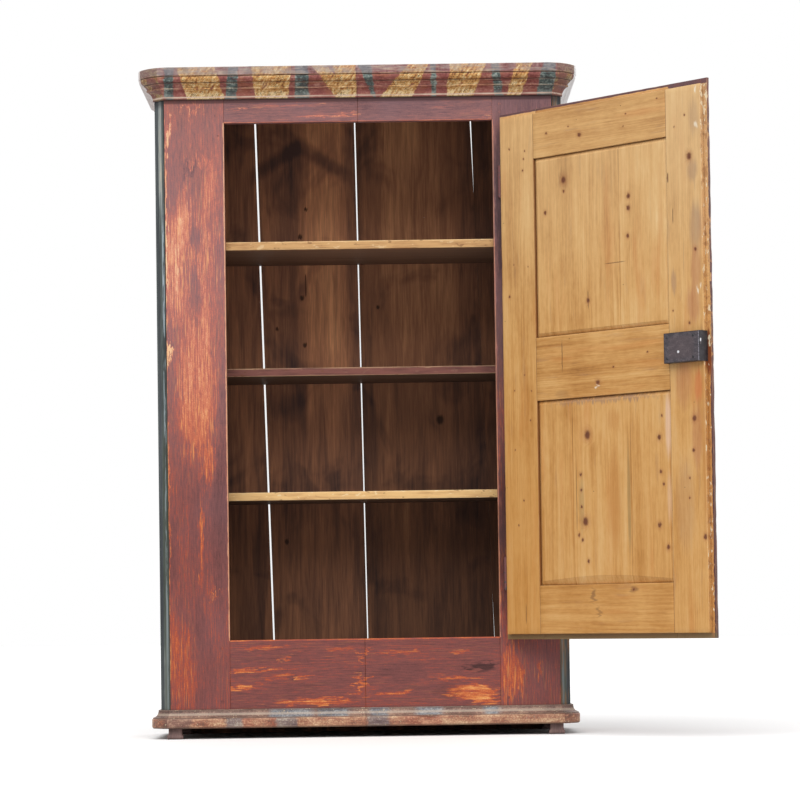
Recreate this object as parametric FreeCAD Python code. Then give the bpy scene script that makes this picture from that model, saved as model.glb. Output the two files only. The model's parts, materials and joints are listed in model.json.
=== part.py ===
import FreeCAD, Part
import math
import os
from FreeCAD import Vector

# A one-door cabinet on low feet: a frame-and-board case, canted front corners,
# a cornice and a base moulding, three shelves and a lipped frame-and-panel door.
# Millimetres. While the pieces are drawn, x = 0 is the middle of the case, y = 0
# is the front face of the frame, y grows towards the back, and z = 0 is the floor.

# Case
case_width = 1152.0
case_depth = 440.0
case_height = 1888.0
corner_cant = 28.5
frame_thick = 24.0
side_thick = 22.0
back_thick = 18.0
top_thick = 18.0
bottom_thick = 22.0
post_depth = 46.0
seam_gap = 0.8
cant_groove = 3.0
cant_groove_inset = 6.0

# Door opening in the front frame
opening_width = 758.0
bottom_rail_face = 193.0
top_rail_face = 67.0
opening_round = 1.4
tenon_thick = 8.0
tenon_length = 45.0
tenon_shoulder = 16.0
nail_hole_radius = 1.6
nail_hole_depth = 9.0
nail_hole_in = 15.0
nail_hole_down = 34.0

# Shelves: the height of each top face and the set-back of each front edge
shelf_thick = 23.0
shelf_tops = {"top": 1400.0, "middle": 1048.0, "lower": 694.0}
shelf_setbacks = {"top": 0.0, "middle": 86.0, "lower": 94.0}
shelf_side_gap = 0.5
shelf_edge_round = 1.5
floor_drop = 9.0
bearer_width = 24.0
bearer_height = 30.0
bearer_start = 36.0

# Back boards, which reach down to just above the floor: each joint leans, and its
# gap changes on the way down and closes behind the plinth
back_joint_knees = [1585.0, 400.0, 260.0, 60.0]
back_joint_places = [(-310.0, -265.0), (-14.0, 8.0), (328.0, 387.0)]
back_joint_gaps = [(5.6, 5.6, 5.4, 5.0, 0.0, 0.0), (3.8, 3.8, 3.2, 2.8, 0.0, 0.0),
                   (5.0, 0.6, 0.6, 1.4, 0.0, 0.0)]
pinhole_radius = 1.4
pinhole_x = 189.0
pinhole_z = 1515.0
back_nail_inset = 55.0
back_floor_gap = 0.3

# Feet and the blocks that carry them
foot_height = 30.0
foot_width = 44.0
foot_waist = 37.0
foot_pad_height = 12.0
foot_flare_height = 5.0
foot_out = 10.0
foot_block_height = 70.0
foot_block_width = 37.0
foot_round = 2.5

# Mouldings
cornice_height = 86.0
cornice_reach = 46.0
base_height = 52.0
base_reach = 27.5

# Door
door_thick = 24.0
door_lip_thick = 11.0
door_lip_width = 15.0
door_lip_gap = 0.5
door_side_gap = 5.0
door_end_gap = 7.0
door_lip_round = 5.0
hinge_stile_width = 128.0
lock_stile_width = 122.0
door_top_rail = 126.0
door_bottom_rail = 133.0
door_middle_rail_bottom = 927.0
door_middle_rail_top = 1102.0
door_open_angle = 132.5
edge_chip_height = 24.0
edge_chip_depth = 2.5
edge_chip_z = 1216.0
edge_chip_lean = 4.0

# Door panels
panel_tongue = 7.0
panel_groove_depth = 9.0
panel_groove_gap = 0.2
panel_back_drop = 2.0
panel_back_bevel = 12.0
panel_front_drop = 2.0
panel_front_bevel = 38.0
panel_moulding = 14.0
panel_moulding_gap = 2.0

# Hinges
hinge_offset = 20.0
hinge_axis_out = 8.0
knuckle_radius = 6.0
hinge_pin_radius = 2.2
hinge_pin_gap = 0.05
hinge_pin_head = 4.2
hinge_pin_head_height = 2.0
leaf_thick = 2.5
leaf_height = 90.0
leaf_gap = 0.5
frame_leaf_reach = 58.0
door_leaf_reach = 70.0
hinge_from_end = 185.0

# Lock
lock_width = 125.0
lock_height = 80.0
lock_depth = 20.0
lock_sheet = 2.0
lock_round = 1.2
lock_above_rail = 68.0
forend_thick = 1.5
bolt_height = 16.0
bolt_thick = 4.4
bolt_length = 96.0
bolt_gap = 0.2
bolt_proud = 0.8
bolt_notch_width = 12.0
bolt_notch_depth = 5.0
bolt_up = 52.0
key_from_edge = 73.0
key_up = 28.0
key_post_radius = 2.4
key_post_head = 3.6
key_post_head_height = 1.0
key_post_fit = 0.05
keyhole_radius = 4.5
keyhole_slot = 5.0
keyhole_drop = 17.0
keyhole_margin = 1.0
escutcheon_thick = 1.5
escutcheon_top_radius = 16.0
escutcheon_foot_radius = 10.0
escutcheon_foot_drop = 26.0
keeper_width = 30.0
keeper_height = 44.0
keeper_thick = 1.2

# Nails and pegs
nail_radius = 1.5
nail_head_radius = 4.0
nail_head_height = 1.2
nail_head_taper = 0.6
nail_tip_room = 1.0
nail_fit = 0.05
nail_length = 38.0
lock_nail_length = 34.0
lock_nail_inset = 12.0
lock_nail_from_edge = 21.0
leaf_nail_length = 14.0
leaf_nail_inset = 14.0
leaf_nail_from_end = 10.0
door_leaf_nail_shift = 12.0
peg_radius = 4.0
peg_fit = 0.05
peg_proud = 0.6
peg_inset = 22.0

# How far a cutter runs past the face that it cuts
cut_margin = 1.0

# Derived places
half_case = case_width / 2
half_opening = opening_width / 2
half_front = half_case - corner_cant
case_inner = half_case - side_thick
inner_back = case_depth - back_thick
frame_top = case_height - top_thick
cornice_bottom = case_height - cornice_height
base_top = foot_height + base_height
opening_bottom = base_top + bottom_rail_face
opening_top = cornice_bottom - top_rail_face
case_floor_top = opening_bottom - floor_drop
back_joint_heights = [frame_top] + back_joint_knees + [back_floor_gap]
bevel = math.tan(math.radians(22.5))

door_front = -door_lip_gap - door_lip_thick
door_back = door_front + door_thick
block_side = half_opening - door_side_gap
block_bottom = opening_bottom + door_end_gap
block_top = opening_top - door_end_gap
lip_side = block_side + door_lip_width
lip_bottom = block_bottom - door_lip_width
lip_top = block_top + door_lip_width
hinge_stile_edge = block_side - hinge_stile_width
lock_stile_edge = -block_side + lock_stile_width
door_bottom_rail_top = block_bottom + door_bottom_rail
door_top_rail_bottom = block_top - door_top_rail
tongue_front = (door_front + door_back - panel_tongue) / 2
tongue_back = tongue_front + panel_tongue
pivot = Vector(half_opening + hinge_offset, -hinge_axis_out, 0)
hinge_heights = [lip_bottom + hinge_from_end, lip_top - hinge_from_end]
key_x = -block_side + key_from_edge
lock_bottom = door_middle_rail_bottom + lock_above_rail
lock_top = lock_bottom + lock_height
key_middle = lock_bottom + key_up
bolt_middle = lock_bottom + bolt_up
lock_right = -block_side + lock_width
lock_face = door_back + lock_depth

UP = Vector(0, 0, 1)
BACK = Vector(0, 1, 0)
OUT = Vector(0, -1, 0)
RIGHT = Vector(1, 0, 0)


def box(x0, x1, y0, y1, z0, z1):
    return Part.makeBox(x1 - x0, y1 - y0, z1 - z0, Vector(x0, y0, z0))


def prism(points, direction):
    wire = Part.makePolygon(points + [points[0]])
    return Part.Face(wire).extrude(direction)


def rod(x, y, z, radius, length, direction):
    return Part.makeCylinder(radius, length, Vector(x, y, z), direction)


def mirrored(shape):
    return shape.mirror(Vector(0, 0, 0), RIGHT)


def rounded(shape, radius, picks):
    """Rounds the straight edges whose middle passes the test."""
    edges = [e for e in shape.Edges if picks(e.CenterOfMass)]
    return shape.makeFillet(radius, edges)


def near(a, b):
    return abs(a - b) < 1e-4


def moulding_run(start, end, out, up, profile, mitre_start, mitre_end):
    """Draws a moulding from start to end. The profile's points are (out, up) pairs:
    two numbers are a straight step and four are an arc through a middle point.
    A mitre is how far the outer edge runs past the inner one, per unit of reach."""
    along = (end - start).normalize()
    reach = max(step[-2] for step in profile) + cut_margin
    heights = [step[-1] for step in profile]
    over_start = reach * max(mitre_start, 0.0)
    over_end = reach * max(mitre_end, 0.0)
    base = start - along * over_start

    def place(n, u):
        return base + out * n + up * u

    edges = []
    here = place(*profile[0])
    for step in profile[1:] + [profile[0]]:
        there = place(step[-2], step[-1])
        if len(step) == 4:
            edges.append(Part.Arc(here, place(step[0], step[1]), there).toShape())
        else:
            edges.append(Part.makeLine(here, there))
        here = there
    face = Part.Face(Part.Wire(edges))
    bar = face.extrude(along * ((end - start).Length + over_start + over_end))
    low = up * (min(heights) - cut_margin)
    corners = [
        start + low,
        end + low,
        end + out * reach + along * (reach * mitre_end) + low,
        start + out * reach - along * (reach * mitre_start) + low,
    ]
    cutter = prism(corners, up * (max(heights) - min(heights) + 2 * cut_margin))
    return bar.common(cutter).Solids[0]


def cornice_profile():
    r = cornice_reach
    h = cornice_height
    return [
        (0.0, 0.0),
        (0.10 * r, 0.0),
        (0.10 * r, 0.05 * h),
        (0.20 * r, 0.19 * h, 0.46 * r, 0.30 * h),
        (0.54 * r, 0.33 * h, 0.48 * r, 0.37 * h),
        (0.56 * r, 0.43 * h, 0.70 * r, 0.48 * h),
        (0.70 * r, 0.51 * h),
        (0.90 * r, 0.58 * h, 0.96 * r, 0.69 * h),
        (0.93 * r, 0.71 * h),
        (r, 0.73 * h),
        (r, h),
        (0.0, h),
    ]


def base_profile():
    r = base_reach
    h = base_height
    return [
        (0.0, 0.0),
        (0.88 * r, 0.0),
        (r, 0.08 * h),
        (r, 0.50 * h),
        (0.90 * r, 0.53 * h),
        (0.90 * r, 0.58 * h),
        (0.52 * r, 0.68 * h, 0.30 * r, 0.92 * h),
        (0.30 * r, h),
        (0.0, h),
    ]


def surround(profile, bottom):
    """The six pieces of a moulding round the front and sides: two front halves that
    meet at the seam, two canted corners and two side returns."""
    seam = Vector(seam_gap / 2, 0, bottom)
    front_corner = Vector(half_front, 0, bottom)
    side_corner = Vector(half_case, corner_cant, bottom)
    back_corner = Vector(half_case, case_depth, bottom)
    cant_out = Vector(1, -1, 0).normalize()
    front = moulding_run(seam, front_corner, OUT, UP, profile, 0.0, bevel)
    corner = moulding_run(front_corner, side_corner, cant_out, UP, profile, bevel, bevel)
    side = moulding_run(side_corner, back_corner, RIGHT, UP, profile, bevel, 0.0)
    return {"front_right": front, "corner_right": corner, "side_right": side,
            "front_left": mirrored(front), "corner_left": mirrored(corner),
            "side_left": mirrored(side)}


def nail(x, y, z, length, direction):
    """A nail whose head's underside is at the point; the direction is the shank's."""
    head = Part.makeCone(nail_head_radius, nail_head_radius * nail_head_taper,
                         nail_head_height, Vector(x, y, z), direction * -1)
    return head.fuse(rod(x, y, z, nail_radius, length, direction)).removeSplitter()


def nail_bore(x, y, z, length, direction):
    """The hole for a nail, wide enough over its head for one that is driven flush."""
    shank = rod(x, y, z, nail_radius + nail_fit, length + nail_tip_room, direction)
    head = rod(x, y, z, nail_head_radius + nail_fit, nail_head_height, direction * -1)
    return shank.fuse(head)


def slab_with_cants(x_half, front, back, bottom, top):
    """A board that clears the canted corner posts."""
    board = box(-x_half, x_half, front, back, bottom, top)
    for side in (-1, 1):
        x0 = side * half_front
        x1 = side * (half_case + cut_margin)
        if front < post_depth:
            post = box(min(x0, x1), max(x0, x1), front - cut_margin, post_depth,
                       bottom - cut_margin, top + cut_margin)
            board = board.cut(post)
    return board


def front_frame():
    """Two stiles and the two halves of each rail, tenoned into them."""
    mid = frame_thick / 2
    tenon_front = mid - tenon_thick / 2
    tenon_back = mid + tenon_thick / 2
    spans = {"bottom_rail": (foot_height, opening_bottom), "top_rail": (opening_top, frame_top)}
    stile = box(half_opening, half_front, 0, frame_thick, foot_height, frame_top)
    stile = rounded(stile, opening_round,
                    lambda c: near(c.x, half_opening) and near(c.y, 0))
    parts = {}
    for name, (low, high) in spans.items():
        tenon = box(half_opening - cut_margin, half_opening + tenon_length,
                    tenon_front, tenon_back,
                    low + tenon_shoulder, high - tenon_shoulder)
        stile = stile.cut(tenon)
        rail = box(seam_gap / 2, half_opening, 0, frame_thick, low, high)
        edge = opening_bottom if name == "bottom_rail" else opening_top
        rail = rounded(rail, opening_round, lambda c: near(c.z, edge) and near(c.y, 0))
        rail = rail.fuse(tenon).removeSplitter()
        parts[name + "_right"] = rail
        parts[name + "_left"] = mirrored(rail)
    left = mirrored(stile)
    hole = rod(-half_opening - nail_hole_in, -cut_margin, opening_top - nail_hole_down,
               nail_hole_radius, nail_hole_depth + cut_margin, BACK)
    parts["front_stile_right"] = stile
    parts["front_stile_left"] = left.cut(hole)
    return parts


def corner_post():
    section = [
        Vector(half_front, 0, foot_height),
        Vector(half_case, corner_cant, foot_height),
        Vector(half_case, post_depth, foot_height),
        Vector(half_front, post_depth, foot_height),
    ]
    height = frame_top - foot_height
    post = prism(section, UP * height)
    slope = Vector(1, 1, 0).normalize()
    inward = Vector(-1, 1, 0).normalize()
    face_length = corner_cant * math.sqrt(2)
    for distance in (cant_groove_inset, face_length - cant_groove_inset):
        middle = section[0] + slope * distance
        groove = prism([middle - slope * (cant_groove / 2) - inward * cut_margin,
                        middle + slope * (cant_groove / 2) - inward * cut_margin,
                        middle + inward * (cant_groove / 2)], UP * height)
        post = post.cut(groove)
    return post


def joint_x(joint, side, z):
    """The edge of a leaning board joint at one of its heights; side is -1 or 1."""
    top, bottom = back_joint_places[joint]
    heights = back_joint_heights
    middle = bottom + (top - bottom) * (z - heights[-1]) / (heights[0] - heights[-1])
    return middle + side * back_joint_gaps[joint][heights.index(z)] / 2


def back_boards():
    boards = []
    count = len(back_joint_places) + 1
    for i in range(count):
        left = [(-half_case, z) for z in (back_joint_heights[0], back_joint_heights[-1])]
        right = [(half_case, z) for z in (back_joint_heights[0], back_joint_heights[-1])]
        if i > 0:
            left = [(joint_x(i - 1, 1, z), z) for z in back_joint_heights]
        if i < count - 1:
            right = [(joint_x(i, -1, z), z) for z in back_joint_heights]
        outline = [Vector(x, inner_back, z) for x, z in left + right[::-1]]
        boards.append(prism(outline, BACK * back_thick))
    return boards


def foot(x, y):
    """A square foot with a waist that flares out to its pad."""
    half = foot_width / 2
    waist = foot_waist / 2
    flare_top = foot_pad_height + foot_flare_height
    pad = box(x - half, x + half, y - half, y + half, 0, foot_pad_height)
    pad = rounded(pad, foot_round, lambda c: near(c.z, foot_pad_height))
    ring = half - foot_round
    flare = Part.makeLoft([
        square(x, y, ring, foot_pad_height), square(x, y, waist, flare_top)], True, True)
    neck = box(x - waist, x + waist, y - waist, y + waist, flare_top, foot_height)
    return pad.fuse([flare, neck]).removeSplitter()


def square(x, y, half, z):
    corners = [Vector(x - half, y - half, z), Vector(x + half, y - half, z),
               Vector(x + half, y + half, z), Vector(x - half, y + half, z)]
    return Part.makePolygon(corners + [corners[0]])


def foot_places():
    x = half_front + foot_out - foot_width / 2
    front = foot_width / 2 - foot_out
    back = inner_back - foot_width / 2
    return {"front_left": (-x, front), "front_right": (x, front),
            "rear_left": (-x, back), "rear_right": (x, back)}


def foot_blocks():
    """Blocks glued into the corners of the plinth, over the feet."""
    top = foot_height + foot_block_height
    front = box(half_front - foot_block_width, half_front,
                frame_thick, frame_thick + foot_block_width, foot_height, top)
    rear = box(case_inner - foot_block_width, case_inner,
               inner_back - foot_block_width, inner_back, foot_height, top)
    return Part.makeCompound([front, rear, mirrored(front), mirrored(rear)])


def keyhole(y0, y1, gap):
    """The keyhole's cutter between two depths, with a margin all round."""
    round_part = rod(key_x, y0, key_middle, keyhole_radius + gap, y1 - y0, BACK)
    half = keyhole_slot / 2 + gap
    slot = box(key_x - half, key_x + half, y0, y1, key_middle - keyhole_drop - gap, key_middle)
    return round_part.fuse(slot)


def door_frame():
    """Stiles and rails with a lip all round, tenoned and grooved for the panels."""
    mid = (door_front + door_back) / 2
    tenon_front = mid - tenon_thick / 2
    tenon_back = mid + tenon_thick / 2
    lip_back = door_front + door_lip_thick

    def with_lip(x0, x1, z0, z1, lx0, lx1, lz0, lz1):
        block = box(x0, x1, door_front, door_back, z0, z1)
        lip = box(lx0, lx1, door_front, lip_back, lz0, lz1)
        return block.fuse(lip).removeSplitter()

    def lip_edge(c):
        on_rim = near(abs(c.x), lip_side) or near(c.z, lip_top) or near(c.z, lip_bottom)
        return on_rim and near(c.y, door_front)

    x0 = lock_stile_edge
    x1 = hinge_stile_edge
    hinge = with_lip(x1, block_side, block_bottom, block_top, x1, lip_side, lip_bottom, lip_top)
    lock = with_lip(-block_side, x0, block_bottom, block_top, -lip_side, x0, lip_bottom, lip_top)
    low = with_lip(x0, x1, block_bottom, door_bottom_rail_top,
                   x0, x1, lip_bottom, door_bottom_rail_top)
    high = with_lip(x0, x1, door_top_rail_bottom, block_top,
                    x0, x1, door_top_rail_bottom, lip_top)
    hinge = rounded(hinge, door_lip_round, lip_edge)
    lock = rounded(lock, door_lip_round, lip_edge)
    low = rounded(low, door_lip_round, lip_edge)
    high = rounded(high, door_lip_round, lip_edge)
    middle = box(x0, x1, door_front, door_back, door_middle_rail_bottom, door_middle_rail_top)

    rails = {"door_bottom_rail": (low, block_bottom, door_bottom_rail_top),
             "door_middle_rail": (middle, door_middle_rail_bottom, door_middle_rail_top),
             "door_top_rail": (high, door_top_rail_bottom, block_top)}
    parts = {}
    for name, (rail, z0, z1) in rails.items():
        tenon = box(x0 - tenon_length, x1 + tenon_length, tenon_front, tenon_back,
                    z0 + tenon_shoulder, z1 - tenon_shoulder)
        hinge = hinge.cut(tenon)
        lock = lock.cut(tenon)
        parts[name] = rail.fuse(tenon).removeSplitter()

    grow = panel_groove_depth + panel_groove_gap
    for z0, z1 in panel_spans().values():
        groove = box(x0 - grow, x1 + grow, tongue_front - panel_groove_gap,
                     tongue_back + panel_groove_gap, z0 - grow, z1 + grow)
        hinge = hinge.cut(groove)
        lock = lock.cut(groove)
        for name in parts:
            parts[name] = parts[name].cut(groove)

    chip = box(-lip_side - cut_margin, -lip_side + edge_chip_depth,
               door_front - cut_margin, lip_back + cut_margin,
               edge_chip_z - edge_chip_height / 2, edge_chip_z + edge_chip_height / 2)
    chip.rotate(Vector(-lip_side, 0, edge_chip_z), BACK, edge_chip_lean)
    lock = lock.cut(chip)
    parts["door_hinge_stile"] = hinge
    key_way = keyhole(door_front - cut_margin, door_back + cut_margin, keyhole_margin)
    parts["door_lock_stile"] = lock.cut(key_way)
    parts["door_middle_rail"] = parts["door_middle_rail"].cut(key_way)
    return parts


def panel_spans():
    return {"door_lower_panel": (door_bottom_rail_top, door_middle_rail_bottom),
            "door_upper_panel": (door_middle_rail_top, door_top_rail_bottom)}


def frustum(x0, x1, z0, z1, y_wide, y_narrow, inset):
    """A low pyramid with its point cut off, drawn between two depths."""
    wide = [(x0, z0), (x1, z0), (x1, z1), (x0, z1)]
    narrow = [(x0 + inset, z0 + inset), (x1 - inset, z0 + inset),
              (x1 - inset, z1 - inset), (x0 + inset, z1 - inset)]
    rings = []
    for ring, y in ((wide, y_wide), (narrow, y_narrow)):
        corners = [Vector(x, y, z) for x, z in ring]
        rings.append(Part.makePolygon(corners + [corners[0]]))
    return Part.makeLoft(rings, True, True)


def door_panel(z0, z1):
    """A fielded panel: a tongue in the grooves, a wide bevel in front, a narrow one behind."""
    x0 = lock_stile_edge
    x1 = hinge_stile_edge
    grow = panel_groove_depth
    margin = panel_moulding + panel_moulding_gap
    tongue = box(x0 - grow, x1 + grow, tongue_front, tongue_back, z0 - grow, z1 + grow)
    back = frustum(x0, x1, z0, z1, tongue_back, door_back - panel_back_drop, panel_back_bevel)
    front = frustum(x0 + margin, x1 - margin, z0 + margin, z1 - margin,
                    tongue_front, door_front + panel_front_drop, panel_front_bevel)
    return tongue.fuse([back, front]).removeSplitter()


def panel_mouldings(z0, z1):
    """Four mitred quarter-round strips round the front of a panel."""
    x0 = lock_stile_edge
    x1 = hinge_stile_edge
    size = panel_moulding
    height = tongue_front - door_front
    belly = 0.72
    profile = [(0.0, 0.0), (size, 0.0), (size * belly, height * belly, 0.0, height)]
    corners = [Vector(x, tongue_front, z) for x, z in ((x0, z0), (x1, z0), (x1, z1), (x0, z1))]
    inward = [UP, RIGHT * -1, UP * -1, RIGHT]
    strips = []
    for i in range(4):
        strips.append(moulding_run(corners[i], corners[(i + 1) % 4], inward[i], OUT,
                                   profile, -1.0, -1.0))
    return Part.makeCompound(strips)


def knuckles(z, slots):
    """Hinge knuckles over the given thirds of a leaf's height."""
    third = leaf_height / 3
    pieces = []
    for slot in slots:
        low = z - leaf_height / 2 + slot * third + leaf_gap / 2
        tall = third - leaf_gap
        pieces.append((low, tall))
    return pieces


def hinge(z):
    """The two leaves and the pin of one hinge, drawn with the door shut."""
    bore = hinge_pin_radius + hinge_pin_gap
    low = z - leaf_height / 2
    high = z + leaf_height / 2
    clear = knuckle_radius + leaf_gap
    frame_leaf = box(pivot.x + clear, pivot.x + frame_leaf_reach, -leaf_thick, 0, low, high)
    for bottom, tall in knuckles(z, (0, 2)):
        web = box(pivot.x, pivot.x + clear, -leaf_thick, 0, bottom, bottom + tall)
        tube = rod(pivot.x, pivot.y, bottom, knuckle_radius, tall, UP)
        frame_leaf = frame_leaf.fuse([web, tube])
    door_leaf = box(pivot.x - door_leaf_reach, pivot.x - clear,
                    door_front - leaf_thick, door_front, low, high)
    for bottom, tall in knuckles(z, (1,)):
        web = box(pivot.x - clear, pivot.x, door_front - leaf_thick, door_front,
                  bottom, bottom + tall)
        tube = rod(pivot.x, pivot.y, bottom, knuckle_radius, tall, UP)
        door_leaf = door_leaf.fuse([web, tube])
    cutter = rod(pivot.x, pivot.y, low - cut_margin, bore, leaf_height + 2 * cut_margin, UP)
    pin = rod(pivot.x, pivot.y, low, hinge_pin_radius, leaf_height, UP)
    for end in (low - hinge_pin_head_height, high):
        pin = pin.fuse(rod(pivot.x, pivot.y, end, hinge_pin_head, hinge_pin_head_height, UP))
    return (frame_leaf.cut(cutter).removeSplitter(), door_leaf.cut(cutter).removeSplitter(),
            pin.removeSplitter())


def leaf_nail_places(z, x_near, x_far):
    up = leaf_height / 2 - leaf_nail_inset
    return [(x_far, z - up), (x_far, z + up), (x_near, z)]


def lock_parts():
    """A box lock on the door's back: case, forend, bolt, key post and escutcheon."""
    inner_face = lock_face - lock_sheet
    case = box(-block_side, lock_right, door_back, lock_face, lock_bottom, lock_top)
    hollow = box(-block_side + lock_sheet, lock_right - lock_sheet, door_back - cut_margin,
                 inner_face, lock_bottom + lock_sheet, lock_top - lock_sheet)
    case = case.cut(hollow)
    case = rounded(case, lock_round, lambda c: near(c.y, lock_face))
    bolt_back = inner_face - bolt_gap
    bolt_front = bolt_back - bolt_thick
    bolt_low = bolt_middle - bolt_height / 2
    bolt_high = bolt_middle + bolt_height / 2
    bolt_end = -block_side - forend_thick - bolt_proud
    bolt = box(bolt_end, bolt_end + bolt_length, bolt_front, bolt_back, bolt_low, bolt_high)
    notch = box(key_x - bolt_notch_width / 2, key_x + bolt_notch_width / 2,
                bolt_front, bolt_back, bolt_low - cut_margin, bolt_low + bolt_notch_depth)
    bolt = bolt.cut(notch)
    slot = box(bolt_end - cut_margin, -block_side + lock_sheet + cut_margin,
               bolt_front - bolt_gap, bolt_back + bolt_gap,
               bolt_low - bolt_gap, bolt_high + bolt_gap)
    lip_back = door_front + door_lip_thick
    forend = box(-block_side - forend_thick, -block_side, lip_back, lock_face,
                 lock_bottom, lock_top)
    post_hole = rod(key_x, door_back, key_middle, key_post_radius + key_post_fit,
                    lock_depth + cut_margin, BACK)
    post = rod(key_x, door_back, key_middle, key_post_radius, lock_depth, BACK)
    post = post.fuse(rod(key_x, lock_face, key_middle, key_post_head,
                         key_post_head_height, BACK))
    plate = rod(key_x, door_front - escutcheon_thick, key_middle, escutcheon_top_radius,
                escutcheon_thick, BACK)
    foot_z = key_middle - escutcheon_foot_drop
    plate = plate.fuse(rod(key_x, door_front - escutcheon_thick, foot_z,
                           escutcheon_foot_radius, escutcheon_thick, BACK))
    neck = escutcheon_foot_radius - escutcheon_thick
    plate = plate.fuse(box(key_x - neck, key_x + neck, door_front - escutcheon_thick,
                           door_front, foot_z, key_middle)).removeSplitter()
    return {"lock_case": case.cut(slot).cut(post_hole),
            "lock_forend": forend.cut(slot),
            "lock_key_post": post.removeSplitter(),
            "escutcheon": plate.cut(keyhole(door_front - escutcheon_thick - cut_margin,
                                            door_front + cut_margin, 0.0)),
            "lock_bolt": bolt}


def lock_nail_places():
    low = lock_bottom + lock_nail_inset
    high = lock_top - lock_nail_inset
    xs = (-block_side + lock_nail_from_edge, lock_right - lock_nail_inset)
    return [(x, z) for x in xs for z in (low, high)]


def build():
    """Every piece by node name, with the door's own pieces drawn shut."""
    fixed = {}
    swinging = {}
    sliding = {}

    fixed.update(front_frame())
    post = corner_post()
    fixed["corner_post_right"] = post
    fixed["corner_post_left"] = mirrored(post)
    side = box(case_inner, half_case, post_depth, inner_back, foot_height, frame_top)
    fixed["side_board_right"] = side
    fixed["side_board_left"] = mirrored(side)
    top_outline = [Vector(half_front, 0, frame_top), Vector(half_case, corner_cant, frame_top),
                   Vector(half_case, case_depth, frame_top),
                   Vector(-half_case, case_depth, frame_top),
                   Vector(-half_case, corner_cant, frame_top), Vector(-half_front, 0, frame_top)]
    fixed["top_board"] = prism(top_outline, UP * top_thick)
    fixed["bottom_board"] = slab_with_cants(case_inner - shelf_side_gap, frame_thick, inner_back,
                                            case_floor_top - bottom_thick, case_floor_top)

    bearers = []
    levels = [case_floor_top - bottom_thick] + [top - shelf_thick for top in shelf_tops.values()]
    starts = [frame_thick] + [frame_thick + shelf_setbacks[name] for name in shelf_tops]
    for level, start in zip(levels, starts):
        bearers.append(box(case_inner - bearer_width, case_inner, start + bearer_start,
                           inner_back, level - bearer_height, level))
    fixed["shelf_bearers_right"] = Part.makeCompound(bearers)
    fixed["shelf_bearers_left"] = mirrored(Part.makeCompound(bearers))
    for name, top in shelf_tops.items():
        front = frame_thick + shelf_setbacks[name]
        shelf = slab_with_cants(case_inner - shelf_side_gap, front, inner_back,
                                top - shelf_thick, top)
        shelf = rounded(shelf, shelf_edge_round,
                        lambda c: near(c.y, front) and near(c.x, 0))
        fixed["shelf_" + name] = shelf

    boards = back_boards()
    pinhole = rod(pinhole_x, inner_back - cut_margin, pinhole_z, pinhole_radius,
                  back_thick + 2 * cut_margin, BACK)
    boards[2] = boards[2].cut(pinhole)
    case_nails = []
    rows = {"bottom_board": case_floor_top - bottom_thick / 2}
    for name, top in shelf_tops.items():
        rows["shelf_" + name] = top - shelf_thick / 2
    edges = [-half_case] + [sum(place) / 2 for place in back_joint_places] + [half_case]
    for node, z in rows.items():
        for i in range(len(boards)):
            for x in (edges[i] + back_nail_inset, edges[i + 1] - back_nail_inset):
                seat = case_depth - nail_head_height
                bore = nail_bore(x, seat, z, nail_length, OUT)
                boards[i] = boards[i].cut(bore)
                fixed[node] = fixed[node].cut(bore)
                case_nails.append(nail(x, seat, z, nail_length, OUT))
    for i, board in enumerate(boards):
        fixed["back_board_%d" % (i + 1)] = board

    pegs = []
    for side in (-1, 1):
        for low, high in ((base_top, opening_bottom), (opening_top, cornice_bottom)):
            x = side * (half_opening + peg_inset)
            for z in (low + peg_inset, high - peg_inset):
                for name in ("front_stile", "bottom_rail", "top_rail"):
                    node = name + ("_left" if side < 0 else "_right")
                    fixed[node] = fixed[node].cut(
                        rod(x, -cut_margin, z, peg_radius + peg_fit,
                            frame_thick + 2 * cut_margin, BACK))
                pegs.append(rod(x, -peg_proud, z, peg_radius, frame_thick + peg_proud, BACK))
    fixed["frame_pegs"] = Part.makeCompound(pegs)

    for name, piece in surround(cornice_profile(), cornice_bottom).items():
        fixed["cornice_" + name] = piece
    for name, piece in surround(base_profile(), foot_height).items():
        fixed["base_moulding_" + name] = piece

    for name, (x, y) in foot_places().items():
        fixed["foot_" + name] = foot(x, y)
    fixed["foot_blocks"] = foot_blocks()

    swinging.update(door_frame())
    for name, (z0, z1) in panel_spans().items():
        swinging[name] = door_panel(z0, z1)
        swinging[name + "_moulding"] = panel_mouldings(z0, z1)

    leaves = [hinge(z) for z in hinge_heights]
    frame_leaves = Part.makeCompound([leaf[0] for leaf in leaves])
    door_leaves = Part.makeCompound([leaf[1] for leaf in leaves])
    fixed["hinge_pins"] = Part.makeCompound([leaf[2] for leaf in leaves])
    door_nails = []
    for z in hinge_heights:
        inner = knuckle_radius + leaf_nail_inset
        far = pivot.x + frame_leaf_reach - leaf_nail_from_end
        for x, nz in leaf_nail_places(z, pivot.x + inner, far):
            bore = nail_bore(x, -leaf_thick, nz, leaf_nail_length, BACK)
            frame_leaves = frame_leaves.cut(bore)
            fixed["front_stile_right"] = fixed["front_stile_right"].cut(bore)
            case_nails.append(nail(x, -leaf_thick, nz, leaf_nail_length, BACK))
        far = pivot.x - door_leaf_reach + leaf_nail_from_end
        for x, nz in leaf_nail_places(z, pivot.x - inner - door_leaf_nail_shift, far):
            bore = nail_bore(x, door_front - leaf_thick, nz, leaf_nail_length, BACK)
            door_leaves = door_leaves.cut(bore)
            swinging["door_hinge_stile"] = swinging["door_hinge_stile"].cut(bore)
            door_nails.append(nail(x, door_front - leaf_thick, nz, leaf_nail_length, BACK))
    fixed["hinge_frame_leaves"] = frame_leaves
    fixed["case_nails"] = Part.makeCompound(case_nails)
    swinging["hinge_door_leaves"] = door_leaves

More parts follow.
